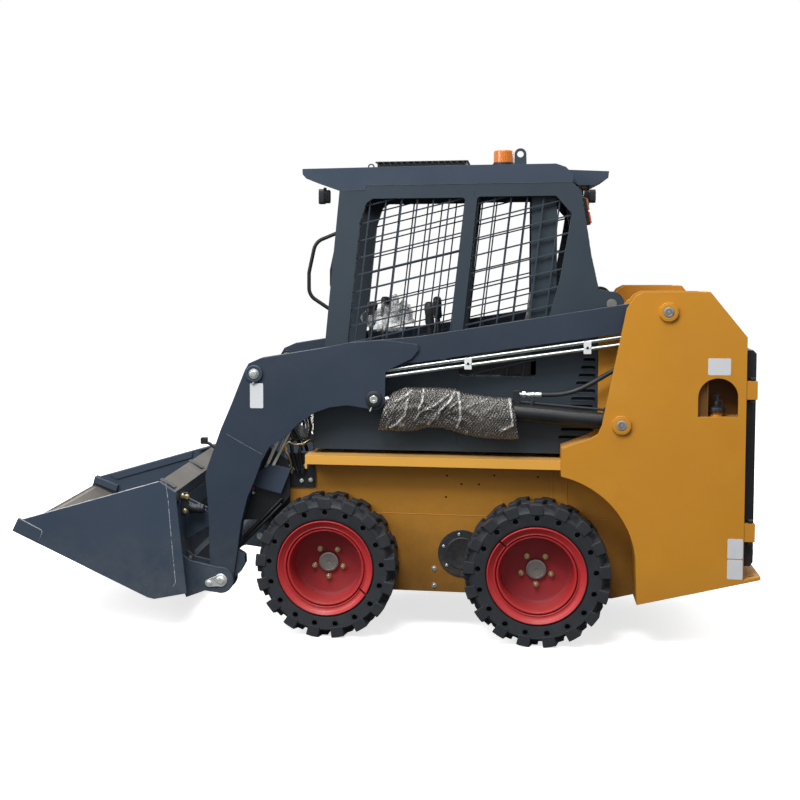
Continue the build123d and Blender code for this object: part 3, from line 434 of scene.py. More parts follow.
def paint(name, colour, shade, light, dust, roughness=0.42, dusty=0.5, low_grime=0.45, grime=0.5, low_shade_colour=None,
        film=0.0):
    """Sprayed paint with orange peel, patchy tone and dust on top faces; low down a patchy tint, grime in the dust
    colour when no low shade colour is given and painted shade in that colour when one is; film adds a smooth painted
    shade towards the bottom.
    """
    made = Surface(name, colour, roughness, specular=0.3)
    made.round_edges(0.0022)
    made.bump(made.noise(260, 2), 0.0002, 0.5)
    made.bump(made.noise(14, 3), 0.0006, 0.35)
    made.tint(made.ramp(made.noise(1.7, 4), 0.42, 0.68, 0, 0.5), shade)
    made.tint(made.ramp(made.noise(5.5, 5, 0.65), 0.5, 0.75, 0, 0.35), light)
    # fine scuffs and specks
    made.tint(made.ramp(made.noise(9, 8, 0.8, (0.6, 1, 3.5)), 0.64, 0.72, 0, 0.3), light)
    made.tint(made.ramp(made.noise(190, 2), 0.68, 0.74, 0, 0.25), dust)
    up = made.maths("MULTIPLY", made.facing_up(), made.ramp(made.noise(7, 6, 0.7), 0.3, 0.75, 0, dusty))
    made.tint(up, dust)
    low = made.maths("SUBTRACT", 1.0, made.height_above(0.1, low_grime))
    # smooth darkening towards the bottom in the low shade colour: painted shade
    if film:
        made.tint(made.maths("MULTIPLY", low, film), low_shade_colour)
    # patchy tint low down: grime in the dust colour, painted shade in the low shade colour where one is given
    low = made.maths("MULTIPLY", low, made.ramp(made.noise(11, 7, 0.75), 0.35, 0.7, 0, grime))
    made.tint(low, low_shade_colour or dust)
    made.rough(made.ramp(made.noise(3.2, 5), 0.3, 0.75, roughness - 0.08, roughness + 0.2))
    return made.material


SLATE = (0.034, 0.05, 0.077)
OCHRE = (0.535, 0.235, 0.021)
RED = (0.46, 0.03, 0.034)
DUST = (0.22, 0.19, 0.15)

slate_paint = paint("slate_paint", SLATE, (0.026, 0.037, 0.057), (0.048, 0.062, 0.086), (0.12, 0.125, 0.12))
# darker copy of the slate for the boom: painted shade
slate_boom_shaded = paint("slate_boom_shaded", (0.025, 0.037, 0.057), (0.018, 0.027, 0.043), (0.034, 0.046, 0.066),
    (0.1, 0.105, 0.1), dusty=0.3)
# darker copy of the slate for the cab and its grilles: painted shade
slate_cab_shaded = paint("slate_cab_shaded", (0.0285, 0.0415, 0.055), (0.022, 0.032, 0.044), (0.04, 0.053, 0.067),
    (0.1, 0.105, 0.1))
# the ochre's low shade colour darkens it towards the bottom: painted shade
ochre_paint = paint("ochre_paint", OCHRE, (0.47, 0.2, 0.017), (0.6, 0.28, 0.032), DUST, low_grime=0.35,
    grime=0.5, low_shade_colour=(0.26, 0.115, 0.022))
# lighter copy of the ochre for the side rails: painted highlight
ochre_rail_lit = paint("ochre_rail_lit", (0.7, 0.36, 0.062), (0.62, 0.3, 0.048), (0.76, 0.41, 0.08), DUST,
    low_grime=0.2, grime=0.4)
# ochre of the chaincases and belly pan, darkened towards the bottom: painted shade
ochre_shaded_low = paint("ochre_shaded_low", (0.56, 0.255, 0.026), (0.47, 0.2, 0.02), (0.6, 0.28, 0.034), DUST,
    low_grime=0.8, grime=0.6, low_shade_colour=(0.115, 0.053, 0.015), film=0.75)
# dark ochre inside the fuel filler's recess: painted shade
ochre_painted_shade = paint("ochre_painted_shade", (0.17, 0.075, 0.016), (0.12, 0.052, 0.01), (0.21, 0.095, 0.022), DUST,
    roughness=0.5, dusty=0.3)
gloss_black = paint("gloss_black", (0.01, 0.011, 0.013), (0.006, 0.007, 0.008), (0.02, 0.022, 0.025), DUST,
    roughness=0.22, dusty=0.15)
black_paint = paint("black_paint", (0.014, 0.016, 0.02), (0.008, 0.009, 0.011), (0.035, 0.038, 0.042), DUST,
    roughness=0.38, dusty=0.3)
red_paint = paint("red_paint", RED, (0.36, 0.018, 0.022), (0.54, 0.055, 0.055), (0.16, 0.1, 0.08),
    roughness=0.34, dusty=0.3, low_grime=0.3, grime=0.25)
# darker copy of the red for the dished disc of each rim: painted shade of the recess
red_painted_shade = paint("red_painted_shade", (0.34, 0.032, 0.042), (0.27, 0.018, 0.022), (0.41, 0.045, 0.05),
    (0.12, 0.08, 0.07), roughness=0.45, dusty=0.3, low_grime=0.3, grime=0.4)


def steel(name, colour, roughness, stain=(0.1, 0.075, 0.05), stained=0.4, turned=0.0):
    """Bare or plated steel with fine marks and a little staining."""
    made = Surface(name, colour, roughness, metallic=1.0)
    made.round_edges(0.0008)
    made.bump(made.noise(420, 3), 0.00015, 0.5)
    made.tint(made.ramp(made.noise(45, 6, 0.7), 0.5, 0.75, 0, stained), stain)
    if turned:
        made.bump(made.noise(turned, 2, 0.5, (1, 0.02, 1)), 0.0002, 0.6)
    made.rough(made.ramp(made.noise(28, 5), 0.3, 0.75, roughness - 0.08, roughness + 0.18))
    return made.material


pin_steel = steel("pin_steel", (0.25, 0.24, 0.225), 0.45, turned=300)
pipe_zinc = steel("pipe_zinc", (0.36, 0.4, 0.38), 0.3, (0.2, 0.19, 0.15), 0.35)
pin_face = steel("pin_face", (0.36, 0.35, 0.33), 0.42, turned=300)
zinc_plate = steel("zinc_plate", (0.62, 0.66, 0.64), 0.32, (0.35, 0.33, 0.22), 0.35)
brass_plate = steel("yellow_zinc", (0.5, 0.42, 0.24), 0.3, (0.22, 0.16, 0.08), 0.4)
polished_rod = steel("polished_rod", (0.72, 0.72, 0.72), 0.12, (0.3, 0.28, 0.25), 0.15)
engine_iron = steel("engine_iron", (0.1, 0.1, 0.1), 0.6, (0.05, 0.04, 0.03), 0.6)


def rubber(name, colour, roughness, dusty, grain):
    """Moulded rubber with grain, mould bloom and road dust."""
    made = Surface(name, colour, roughness, specular=0.35)
    made.bump(made.noise(grain, 3), 0.0004, 0.45)
    made.tint(made.ramp(made.noise(14, 6, 0.7), 0.45, 0.75, 0, dusty), (0.105, 0.1, 0.095))
    made.tint(made.ramp(made.noise(75, 4, 0.7), 0.62, 0.72, 0, dusty), (0.15, 0.14, 0.125))
    made.rough(made.ramp(made.noise(20, 4), 0.3, 0.7, roughness - 0.1, roughness + 0.12))
    return made.material


solid_tyre = rubber("solid_tyre", (0.0145, 0.0175, 0.0225), 0.66, 0.1, 320)
hose_rubber = rubber("hose_rubber", (0.016, 0.017, 0.019), 0.5, 0.12, 700)
cap_plastic = rubber("cap_plastic", (0.016, 0.016, 0.018), 0.45, 0.2, 500)
seat_vinyl = rubber("seat_vinyl", (0.022, 0.022, 0.025), 0.42, 0.12, 900)


def clear_plastic(name, colour, roughness, transmission=0.0):
    """Glossy plastic that lets some light through."""
    made = Surface(name, colour, roughness)
    made.set("Transmission Weight", transmission)
    made.bump(made.noise(120, 2), 0.0002, 0.3)
    made.tint(made.ramp(made.noise(30, 4), 0.5, 0.75, 0, 0.3), tuple(0.75 * c for c in colour))
    return made.material


beacon_orange = clear_plastic("beacon_orange", (0.7, 0.185, 0.006), 0.16, transmission=0.35)
lamp_lens = clear_plastic("lamp_lens", (0.75, 0.78, 0.8), 0.08, transmission=0.4)
tail_lens = clear_plastic("tail_lens", (0.75, 0.1, 0.02), 0.15)

# finishes of the CAD nodes that stay in sight
# the cab and the boom take darker copies of the slate (painted shade), the side rails a lighter ochre (painted
# highlight), and the chaincases and belly pan an ochre darker towards the bottom (painted shade)
NODE_MATERIALS = (
    (slate_cab_shaded, "cab_side_left cab_side_right cab_front_frame cab_rear_wall lifting_eyes window_grilles"),
    (slate_paint, "cab_roof coupler coupler_ears hydraulic_blocks"),
    (slate_boom_shaded, "boom_arm_left boom_arm_right boom_cross_tube"),
    (ochre_rail_lit, "side_rails"),
    (ochre_paint, "tower_left tower_right rear_bumper engine_hood door_hinges"),
    (ochre_shaded_low, "chaincase_left chaincase_right belly_pan"),
    (black_paint, "footwell chain_covers nose_plates rear_door axle_housings cab_floor seat_base"),
    (gloss_black, "grab_handles lift_barrels tilt_barrels"),
    (pin_steel, "pivot_pins cab_pivot_pins tilt_pins"),
    (pipe_zinc, "boom_pipes"),
    (polished_rod, "lift_rods tilt_rods"),
    (engine_iron, "engine_block"),
)
for material, names in NODE_MATERIALS:
    for name in names.split():
        NODES[name].data.materials.clear()
        NODES[name].data.materials.append(material)


# ---- mesh helpers
def rect(left, foot, right, top):
    """Outline of a rectangle."""
    return [(left, foot), (right, foot), (right, top), (left, top)]


class Build:
    """Collects simple solids in one mesh, in the row frame, and turns it into a piece."""

    def __init__(self):
        self.mesh = bmesh.new()

    def prism(self, outline, place, low, high):
        """Extrude a closed outline of (a, b) points; place(a, b, c) gives the point in space."""
        near = [self.mesh.verts.new(place(a, b, low)) for a, b in outline]
        far = [self.mesh.verts.new(place(a, b, high)) for a, b in outline]
        self.mesh.faces.new(near)
        self.mesh.faces.new(reversed(far))
        for i in range(len(outline)):
            k = (i + 1) % len(outline)
            self.mesh.faces.new((near[i], far[i], far[k], near[k]))

    def box(self, low, high):
        self.prism(rect(*low[:2], *high[:2]), lambda a, b, c: (a, b, c), low[2], high[2])

    def skin(self, rings, closed=False):
        """Faces from each ring of corners to the next; closed joins the last one to the first."""
        for first, second in zip(rings, rings[1:] + (rings[:1] if closed else [])):
            steps = max(len(first), len(second))
            for step in range(steps):
                after = (step + 1) % steps
                corners = dict.fromkeys((first[step % len(first)], first[after % len(first)],
                    second[after % len(second)], second[step % len(second)]))
                if len(corners) > 2:
                    self.mesh.faces.new(list(corners))

    def lathe(self, centre, axis, section, steps):
        """Turn (radius, station) points about an axis through centre; off the axis they close up."""
        axis = Vector(axis).normalized()
        across = axis.orthogonal().normalized()
        other = axis.cross(across)
        rings = []
        for radius, station in section:
            middle = Vector(centre) + axis * station
            if radius < 1e-6:
                rings.append([self.mesh.verts.new(middle)])
                continue
            ring = []
            for step in range(steps):
                turn = math.tau * step / steps
                spoke = across * math.cos(turn) + other * math.sin(turn)
                ring.append(self.mesh.verts.new(middle + spoke * radius))
            rings.append(ring)
        self.skin(rings, len(rings[0]) > 1)

    def disc(self, centre, axis, radius, height, steps):
        """Flat round disc that stands on centre."""
        self.lathe(centre, axis, rect(0, 0, radius, height), steps)

    def bar(self, start, end, radius, steps=16):
        """Round bar between two points."""
        start, end = Vector(start), Vector(end)
        self.disc(start, end - start, radius, (end - start).length, steps)

    def hexagon(self, centre, axis, across_flats, height, turn=0.0):
        """Bolt head or nut."""
        axis = Vector(axis).normalized()
        side = axis.orthogonal().normalized()
        other = axis.cross(side)
        radius = across_flats / math.sqrt(3)
        angles = [turn + math.pi * step / 3 for step in range(6)]
        corners = [(radius * math.cos(angle), radius * math.sin(angle)) for angle in angles]
        self.prism(corners, lambda a, b, c: Vector(centre) + side * a + other * b + axis * c, 0, height)

    def piece(self, name, body, slot, material, bevel=0.0, smooth=None, outwards=True):
        """Turn the collected solids into a piece that rides on a body; smooth is its sharpest angle."""
        if outwards:
            bmesh.ops.recalc_face_normals(self.mesh, faces=self.mesh.faces)
        mesh = bpy.data.meshes.new(name)
        self.mesh.to_mesh(mesh)
        self.mesh.free()
        made = add_object(name, mesh)
        mesh.materials.append(material)
        if smooth is not None:
            mesh.shade_smooth()
            if smooth < 180:
                mesh.set_sharp_from_angle(angle=math.radians(smooth))
        if bevel:
            rounding = made.modifiers.new("rounding", "BEVEL")
            rounding.width = bevel
            rounding.segments = 2
            rounding.limit_method = "ANGLE"
        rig.slot(made, slot)
        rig.ride(made, body)
        return made


# ---- wheels
TYRE_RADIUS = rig.box("tyre_front_left")[1].z / 2
TYRE_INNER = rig.box("tyre_front_left")[0].y
TYRE_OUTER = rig.box("tyre_front_left")[1].y
TYRE_MIDDLE = (TYRE_INNER + TYRE_OUTER) / 2
RIM_RADIUS = 0.196
LUG_COUNT = 17
LUG_HEIGHT = 0.016
CARCASS_RADIUS = TYRE_RADIUS - LUG_HEIGHT
WALL_REACH = TYRE_OUTER - TYRE_MIDDLE - 0.004
WALL_TOP = 0.256
DISH_REACH = 0.428 - TYRE_MIDDLE
WALL_HOLE_CIRCLE, WALL_HOLE_RADIUS, WALL_HOLE_DEPTH = 0.2345, 0.0112, 0.05
NUT_CIRCLE, NUT_COUNT = 0.0635, 5


def tyre_section():
    """(radius, reach from the tyre's middle) of the tyre without its lugs, from bead to bead."""
    half = [(CARCASS_RADIUS, 0.0), (CARCASS_RADIUS - 0.002, WALL_REACH - 0.035),
        (CARCASS_RADIUS - 0.008, WALL_REACH - 0.015), (WALL_TOP + 0.004, WALL_REACH - 0.002),
        (WALL_TOP, WALL_REACH + 0.001), (WALL_TOP - 0.004, WALL_REACH),
        (RIM_RADIUS + 0.016, WALL_REACH + 0.0005), (RIM_RADIUS + 0.008, WALL_REACH - 0.002),
        (RIM_RADIUS + 0.003, WALL_REACH - 0.009), (RIM_RADIUS - 0.004, WALL_REACH - 0.016)]
    other = [(radius, -reach) for radius, reach in reversed(half[1:])]
    return other + half


def build_tyre(place, axle, side):
    """Solid tyre: carcass with a ring of holes in each wall, and lugs in a chevron."""
    centre = Vector((axle.x, side * TYRE_MIDDLE, axle.z))
    tyre = Build()
    tyre.lathe(centre, (0, side, 0), tyre_section(), LUG_COUNT * 8)
    node = f"tyre_{place}"
    body = tyre.piece(f"carcass_{place}", f"wheel_{place}", "solid_tyre", solid_tyre, smooth=35)
    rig.replaces(body, node)
    # holes in the walls
    drills = Build()
    for number in range(LUG_COUNT):
        turn = math.tau * (number + 0.25) / LUG_COUNT
        spot = Vector((math.cos(turn), 0, math.sin(turn))) * WALL_HOLE_CIRCLE
        for wall in (-1, 1):
            start = centre + spot + Vector((0, wall * (WALL_REACH + 0.01), 0))
            drills.bar(start, start - Vector((0, wall * WALL_HOLE_DEPTH, 0)), WALL_HOLE_RADIUS, 18)
    cutter = drills.piece(f"drills_{place}", f"wheel_{place}", "solid_tyre", solid_tyre)
    cut = body.modifiers.new("holes", "BOOLEAN")
    cut.object = cutter
    cut.solver = "EXACT"
    graph = bpy.context.evaluated_depsgraph_get()
    done = bpy.data.meshes.new_from_object(body.evaluated_get(graph))
    body.modifiers.remove(cut)
    body.data = done
    body.data.shade_smooth()
    body.data.set_sharp_from_angle(angle=math.radians(35))
    bpy.data.objects.remove(cutter)
    lugs = Build()
    for number in range(LUG_COUNT):
        for half in (1, -1):
            offset = 0.25 if half > 0 else 0.75
            lug(lugs, centre, half, math.tau * (number + offset) / LUG_COUNT)
    lugs.piece(f"lugs_{place}", f"wheel_{place}", "solid_tyre", solid_tyre, bevel=0.003, smooth=40)


def lug(build, centre, half, turn):
    """One lug: a block on the shoulder, then a step forwards to a block at the tread's middle."""
    reach = WALL_REACH + 0.0038

    def spot(along, across, radius):
        angle = turn - along / TYRE_RADIUS
        return centre + Vector((radius * math.cos(angle), half * across, radius * math.sin(angle)))

    def block(inner, outer, inner_foot, outer_foot, grow):
        """A block between two edges, each (from along, to along, across)."""
        strips = 4
        corners = {}
        for i in range(strips + 1):
            share = i / strips
            for edge, (start, end, across), foot in (("inner", inner, inner_foot),
                    ("outer", outer, outer_foot)):
                middle = (start + end) / 2
                along = start + (end - start) * share
                corners[edge, "crown", i] = build.mesh.verts.new(spot(along, across, TYRE_RADIUS))
                wide = middle + (along - middle) * grow
                corners[edge, "foot", i] = build.mesh.verts.new(spot(wide, across, foot))
        order = (("inner", "crown"), ("outer", "crown"), ("outer", "foot"), ("inner", "foot"))
        for i in range(strips):
            for (edge, level), (next_edge, next_level) in zip(order, order[1:] + order[:1]):
                build.mesh.faces.new((corners[edge, level, i], corners[edge, level, i + 1],
                    corners[next_edge, next_level, i + 1], corners[next_edge, next_level, i]))
        for i in (0, strips):
            build.mesh.faces.new([corners[edge, level, i] for edge, level in order])

    block((-0.012, 0.04, reach - 0.05), (-0.027, 0.027, reach), CARCASS_RADIUS - 0.006, WALL_TOP - 0.009,
        1.06)
    block((0.03, 0.066, -0.004), (0.01, 0.062, reach - 0.049), CARCASS_RADIUS - 0.006,
        CARCASS_RADIUS - 0.01, 1.12)


LIP = WALL_REACH + 0.004
# (radius, reach) round the dished rim, round its split lock ring, and round the plain disc
RIM_SECTION = [(0.1625, LIP - 0.036), (0.1605, LIP - 0.026), (0.158, LIP - 0.0225), (0.154, LIP - 0.0225),
    (0.151, LIP - 0.026), (0.1495, LIP - 0.034), (0.148, DISH_REACH + 0.03), (0.144, DISH_REACH + 0.01),
    (0.142, DISH_REACH - 0.01), (0.15, DISH_REACH - 0.012), (0.156, DISH_REACH), (0.18, DISH_REACH + 0.008),
    (0.184, -WALL_REACH - 0.001), (0.199, -WALL_REACH - 0.003), (0.199, -WALL_REACH + 0.003),
    (0.19, -WALL_REACH + 0.006), (0.189, LIP - 0.038)]
RING_SECTION = [(0.1975, LIP - 0.013), (0.1985, LIP - 0.004), (0.197, LIP - 0.0005), (0.194, LIP),
    (0.1915, LIP - 0.002), (0.188, LIP - 0.007), (0.18, LIP - 0.013), (0.1775, LIP - 0.014),
    (0.1765, LIP - 0.018), (0.17, LIP - 0.019), (0.1665, LIP - 0.0165), (0.1645, LIP - 0.0185),
    (0.164, LIP - 0.037), (0.195, LIP - 0.037)]
DISC_SECTION = [(0.038, DISH_REACH + 0.003), (0.06, DISH_REACH + 0.003), (0.12, DISH_REACH),
    (0.1345, DISH_REACH + 0.001), (0.137, DISH_REACH + 0.0045), (0.1395, DISH_REACH + 0.0045),
    (0.144, DISH_REACH + 0.01), (0.144, DISH_REACH - 0.008), (0.038, DISH_REACH - 0.008)]
HUB_SECTION = [(0, -0.002), (0.0425, -0.002), (0.0425, 0.014), (0.0405, 0.017), (0.034, 0.0178),
    (0.033, 0.0168), (0.006, 0.016), (0.004, 0.014), (0, 0.014)]


def build_rim(place, axle, side, gap_turn):
    """Dished rim with a split lock ring, hub cap and five studs with nuts."""
    centre = Vector((axle.x, side * TYRE_MIDDLE, axle.z))
    body = f"wheel_{place}"
    across = Vector((0, side, 0))
    rim = Build()
    rim.lathe(centre, across, RIM_SECTION, 96)
    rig.replaces(rim.piece(f"rim_barrel_{place}", body, "red_paint", red_paint, smooth=32), f"rim_{place}")
    # the dished disc takes a darker red: painted shade of the recess
    disc = Build()
    disc.lathe(centre, across, DISC_SECTION, 96)
    disc.piece(f"rim_disc_{place}", body, "red_paint", red_painted_shade, smooth=32)
    ring = Build()
    rings = []
    steps, gap = 96, 0.024  # the gap is in radians on each side of the split
    for step in range(steps + 1):
        turn = gap_turn + gap + (math.tau - 2 * gap) * step / steps
        spoke = Vector((math.cos(turn), 0, math.sin(turn)))
        rings.append([ring.mesh.verts.new(centre + spoke * r + across * y) for r, y in RING_SECTION])
    ring.skin(rings)
    ring.mesh.faces.new(rings[0])
    ring.mesh.faces.new(list(reversed(rings[-1])))
    ring.piece(f"lock_ring_{place}", body, "red_paint", red_paint, smooth=35)
    face = DISH_REACH + 0.003
    hub = Build()
    hub.lathe(centre, across, [(r, y + face) for r, y in HUB_SECTION], 48)
    hub.piece(f"hub_cap_{place}", body, "pin_steel", pin_steel, smooth=30)
    nuts = Build()
    for number in range(NUT_COUNT):
        turn = math.tau * (number + 0.75) / NUT_COUNT
        spot = centre + Vector((math.cos(turn), 0, math.sin(turn))) * NUT_CIRCLE + across * face
        nuts.lathe(spot, across, [(0, -0.001), (0.0125, -0.001), (0.0115, 0.003), (0, 0.003)], 24)
        nuts.hexagon(spot + across * 0.003, across, 0.0195, 0.011, turn)
        stud = [(0, 0), (0.0068, 0), (0.0068, 0.009), (0.0055, 0.0105), (0, 0.0105)]
        nuts.lathe(spot + across * 0.013, across, stud, 16)
    nuts.piece(f"wheel_nuts_{place}", body, "zinc_plate", brass_plate, bevel=0.0006, smooth=35)


for body, place in wheel_joints.items():
    place_name = body.removeprefix("wheel_")
    outward = 1 if place.y > 0 else -1
    # the split in the lock ring stands low on the front wheels and high on the rear ones
    split = math.radians(180 + 31 if "front" in place_name else 43)
    build_tyre(place_name, place, outward)
    build_rim(place_name, place, outward, split)


# ---- helpers for the details
def mm(x, y, z):
    """Point in the row frame from millimetres."""
    return Vector((x, y, z)) * 0.001


def slab(build, outline, low, high, side=1):
    """Plate whose outline is given in side view, (x, z) in millimetres, between two reaches."""
    build.prism(outline, lambda x, z, y: mm(x, side * y, z), low, high)


def plate(name, body, slot, material, side, slabs, bevel=0.0, smooth=None):
    """Piece made of slabs, each (outline, low, high)."""
    build = Build()
    for outline, low, high in slabs:
        slab(build, outline, low, high, side)
    build.piece(name, body, slot, material, bevel, smooth)


def line_at(y, *points):
    """Points at one reach, from (x, z) pairs."""
    return [mm(x, y, z) for x, z in points]


def facing_x(a, b, c):
    """Places an outline in (y, z), to be extruded along x."""
    return mm(c, a, b)


def facing_y(a, b, c):
    """Places an outline in (x, z), to be extruded along y."""
    return mm(a, c, b)


def arc(x, z, radius, first, span, steps):
    """Points of an arc, from an angle through a span in degrees."""
    turns = [math.radians(first + span * step / steps) for step in range(steps + 1)]
    return [(x + radius * math.cos(turn), z + radius * math.sin(turn)) for turn in turns]


def slot_line(start, end, z, height):
    """Outline of a level slot with round ends, as (x, z) points."""
    radius = height / 2
    return arc(end - radius, z, radius, -90, 180, 8) + arc(start + radius, z, radius, 90, 180, 8)


def rounded(low, high, radius, steps=5):
    """Outline of a rectangle with round corners."""
    left, right = low[0] + radius, high[0] - radius
    foot, top = low[1] + radius, high[1] - radius
    corners = ((right, top, 0), (left, top, 90), (left, foot, 180), (right, foot, 270))
    return [point for x, z, first in corners for point in arc(x, z, radius, first, 90, steps)]


def tube(build, points, radius, sides, wobble=0.0, closed=False):
    """Round bar along points; wobble roughens it, as a weld bead is."""
    points = [Vector(p) for p in points]
    count = len(points)
    rings = []
    across = None
    for i, point in enumerate(points):
        before = points[i - 1] if i or closed else point
        after = points[(i + 1) % count] if i < count - 1 or closed else point
        heading = (after - before).normalized()
        if across is None:
            across = heading.orthogonal().normalized()
        across = (across - heading * across.dot(heading)).normalized()
        other = heading.cross(across)
        size = radius * (1 + wobble * noise.noise(point * 400))
        turns = [math.tau * step / sides for step in range(sides)]
        spokes = [(across * math.cos(turn) + other * math.sin(turn)) * size for turn in turns]
        rings.append([build.mesh.verts.new(point + spoke) for spoke in spokes])
    build.skin(rings, closed)
    if not closed:
        build.mesh.faces.new(list(reversed(rings[0])))
        build.mesh.faces.new(rings[-1])


def bead(build, corners, radius, spacing, wobble=0.5):
    """Weld bead along straight runs between corners."""
    points = []
    for start, end in zip(corners, corners[1:]):
        start, end = Vector(start), Vector(end)
        steps = max(1, int((end - start).length / spacing))
        points += [start.lerp(end, i / steps) for i in range(steps)]
    points.append(Vector(corners[-1]))
    tube(build, points, radius, 6, wobble)


def declare_sheet(piece, width, rests_on):
    """Tell the frame a film's flat size: its width, and the length that its area leaves."""
    area = sum(face.area for face in piece.data.polygons)
    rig.sheet(piece, flat=(width, round(area / width, 3)), held="draped", rests_on=rests_on)


def plastic(name, colour, roughness, specular=0.5):
    """Plain moulded or printed plastic with faint mottling and scratches."""
    made = Surface(name, colour, roughness, specular=specular)
    made.bump(made.noise(300, 2), 0.0001, 0.3)
    made.tint(made.ramp(made.noise(25, 5, 0.7), 0.45, 0.75, 0, 0.35), tuple(0.8 * c for c in colour))
    made.rough(made.ramp(made.noise(18, 4), 0.3, 0.75, roughness - 0.05, roughness + 0.15))
    return made.material


blank_white = plastic("blank_white", (0.62, 0.64, 0.66), 0.35)
# near-white plastic for the sleeves on the leg pipes, brighter than their metal: painted sheen
pipe_painted_sheen = plastic("pipe_painted_sheen", (0.8, 0.82, 0.76), 0.25, 0.8)
clamp_white = plastic("clamp_white", (0.7, 0.72, 0.72), 0.5)
# flat black inside slots, holes and grille gaps: painted shade
void_painted_shade = plastic("void_painted_shade", (0.004, 0.0045, 0.005), 0.9, 0.05)
# pale paints for lines along bucket edges and seams: painted highlight
edge_highlight = paint("edge_highlight", (0.4, 0.43, 0.46), (0.2, 0.22, 0.25), (0.55, 0.57, 0.58),
    (0.3, 0.29, 0.27), 0.4)
seam_highlight = paint("seam_highlight", (0.16, 0.18, 0.21), (0.08, 0.1, 0.13), (0.34, 0.36, 0.38), (0.3, 0.29, 0.27),
    0.4)
worn_floor = paint("worn_floor", (0.082, 0.074, 0.066), (0.045, 0.045, 0.048), (0.13, 0.115, 0.1),
    (0.11, 0.095, 0.075), 0.5)

TOWER_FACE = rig.box("rear_bumper")[1].y * 1000
CAB_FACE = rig.box("cab_side_left")[1].y * 1000
ARM_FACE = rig.box("boom_arm_left")[1].y * 1000 - 33
CASE_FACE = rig.box("chaincase_left")[1].y * 1000
LIFT_REACH = ARM_FACE - 35


# ---- hoses of the lift cylinders
# control points of the hose, in metres, from its fitting on the barrel to the bulkhead in the tower
HOSE_ROUTE = [(-0.69, 1.016), (-0.752, 1.016), (-0.818, 1.03), (-0.885, 1.064), (-0.96, 1.112),
    (-1.045, 1.156), (-1.14, 1.166), (-1.222, 1.138), (-1.28, 1.086), (-1.31, 1.024), (-1.31, 0.967)]
HOSE_DIAMETER = 0.019
HOSE_LENGTH = 0.77


def hose_curve(side, bevel):
    """Smooth line through the hose's control points."""
    curve = bpy.data.curves.new("hose", "CURVE")
    curve.dimensions = "3D"
    spline = curve.splines.new("NURBS")
    spline.points.add(len(HOSE_ROUTE) - 1)
    for point, (x, z) in zip(spline.points, HOSE_ROUTE):
        point.co = (x, side * LIFT_REACH / 1000, z, 1)
    spline.order_u = 3
    spline.use_endpoint_u = True
    spline.resolution_u = 12
    curve.bevel_depth = bevel
    curve.bevel_resolution = 5
    curve.use_fill_caps = True
    holder = bpy.data.objects.new("hose", curve)
    mesh = bpy.data.meshes.new_from_object(holder)
    bpy.data.objects.remove(holder)
    return mesh


for side_name, side in SIDES:
    line = [v.co.copy() for v in hose_curve(side, 0).vertices]
    skin = hose_curve(side, HOSE_DIAMETER / 2)
    skin.shade_smooth()
    skin.materials.append(hose_rubber)
    hose = add_object(f"lift_hose_{side_name}", skin)
    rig.slot(hose, "hose_rubber")
    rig.replaces(hose, "lift_hoses")
    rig.blend(hose, "lift_barrel", "chassis", start=line[0], end=line[-1])
    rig.cord(hose, exit=line[0], length=HOSE_LENGTH, diameter=HOSE_DIAMETER, far_end="object",
        stiffness="medium", lay="hanging", path=line)


# ---- lift cylinders
def on_lift(station, rise, y):
    """Point at a station along the lift cylinder and a height over its axis, in millimetres."""
    up = Vector((-LIFT_HEADING.z, 0, LIFT_HEADING.x))
    return LIFT_BASE * Vector((1, 0, 1)) + (LIFT_HEADING * station + up * rise) * 0.001 + mm(0, y, 0)


LIFT_UP = on_lift(0, 1, 0) - on_lift(0, 0, 0)
HOSE_Z = 1016  # of the hose's fittings

for side_name, side in SIDES:
    y = side * LIFT_REACH
    fittings = Build()
    crimp = [(0, 0), (0.0098, 0), (0.0118, 0.002), (0.0118, 0.026), (0.0108, 0.027), (0.0108, 0.03),
        (0.0118, 0.031), (0.0118, 0.04), (0.0105, 0.042), (0.0105, 0.046), (0, 0.046)]
    fittings.lathe(mm(-690, y, HOSE_Z), (1, 0, 0), crimp, 28)
    fittings.hexagon(mm(-644, y, HOSE_Z), (1, 0, 0), 0.021, 0.011)
    fittings.disc(mm(-633, y, HOSE_Z), (1, 0, 0), 0.0085, 0.008, 24)
    fittings.hexagon(mm(-625, y, HOSE_Z), (1, 0, 0), 0.024, 0.013, 0.4)
    fittings.disc(mm(-612, y, HOSE_Z), (1, 0, 0), 0.009, 0.014, 24)
    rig.replaces(fittings.piece(f"hose_fitting_{side_name}", "lift_barrel", "zinc_plate", zinc_plate, 0.0006,
        35), "lift_ports")
    block = Build()
    block.prism(rounded((-603, 958), (-576, 1032), 4), lambda a, b, c: mm(a, y + c, b), -15, 15)
    tube(block, [on_lift(60, 46, y), on_lift(200, 45, y), on_lift(380, 44, y), on_lift(402, 44, y)], 0.0055,
        14)
    for station in (60, 350):
        block.bar(on_lift(station, 30, y), on_lift(station, 53, y), 0.009, 20)
        block.disc(on_lift(station, 53, y), LIFT_UP, 0.0075, 0.004, 6)
    block.piece(f"lift_port_{side_name}", "lift_barrel", "zinc_plate", black_paint, 0.0012, 35)
    # weld round the foot of the barrel
    rings = Build()
    weld = [on_lift(38, 0, y) + Vector((0, math.cos(t), 0)) * 0.0345 + LIFT_UP * 34.5 * math.sin(t)
        for t in (math.tau * k / 48 for k in range(48))]
    tube(rings, weld, 0.0028, 6, 0.4, closed=True)
    rings.piece(f"barrel_weld_{side_name}", "lift_barrel", "black_paint", black_paint, smooth=60)


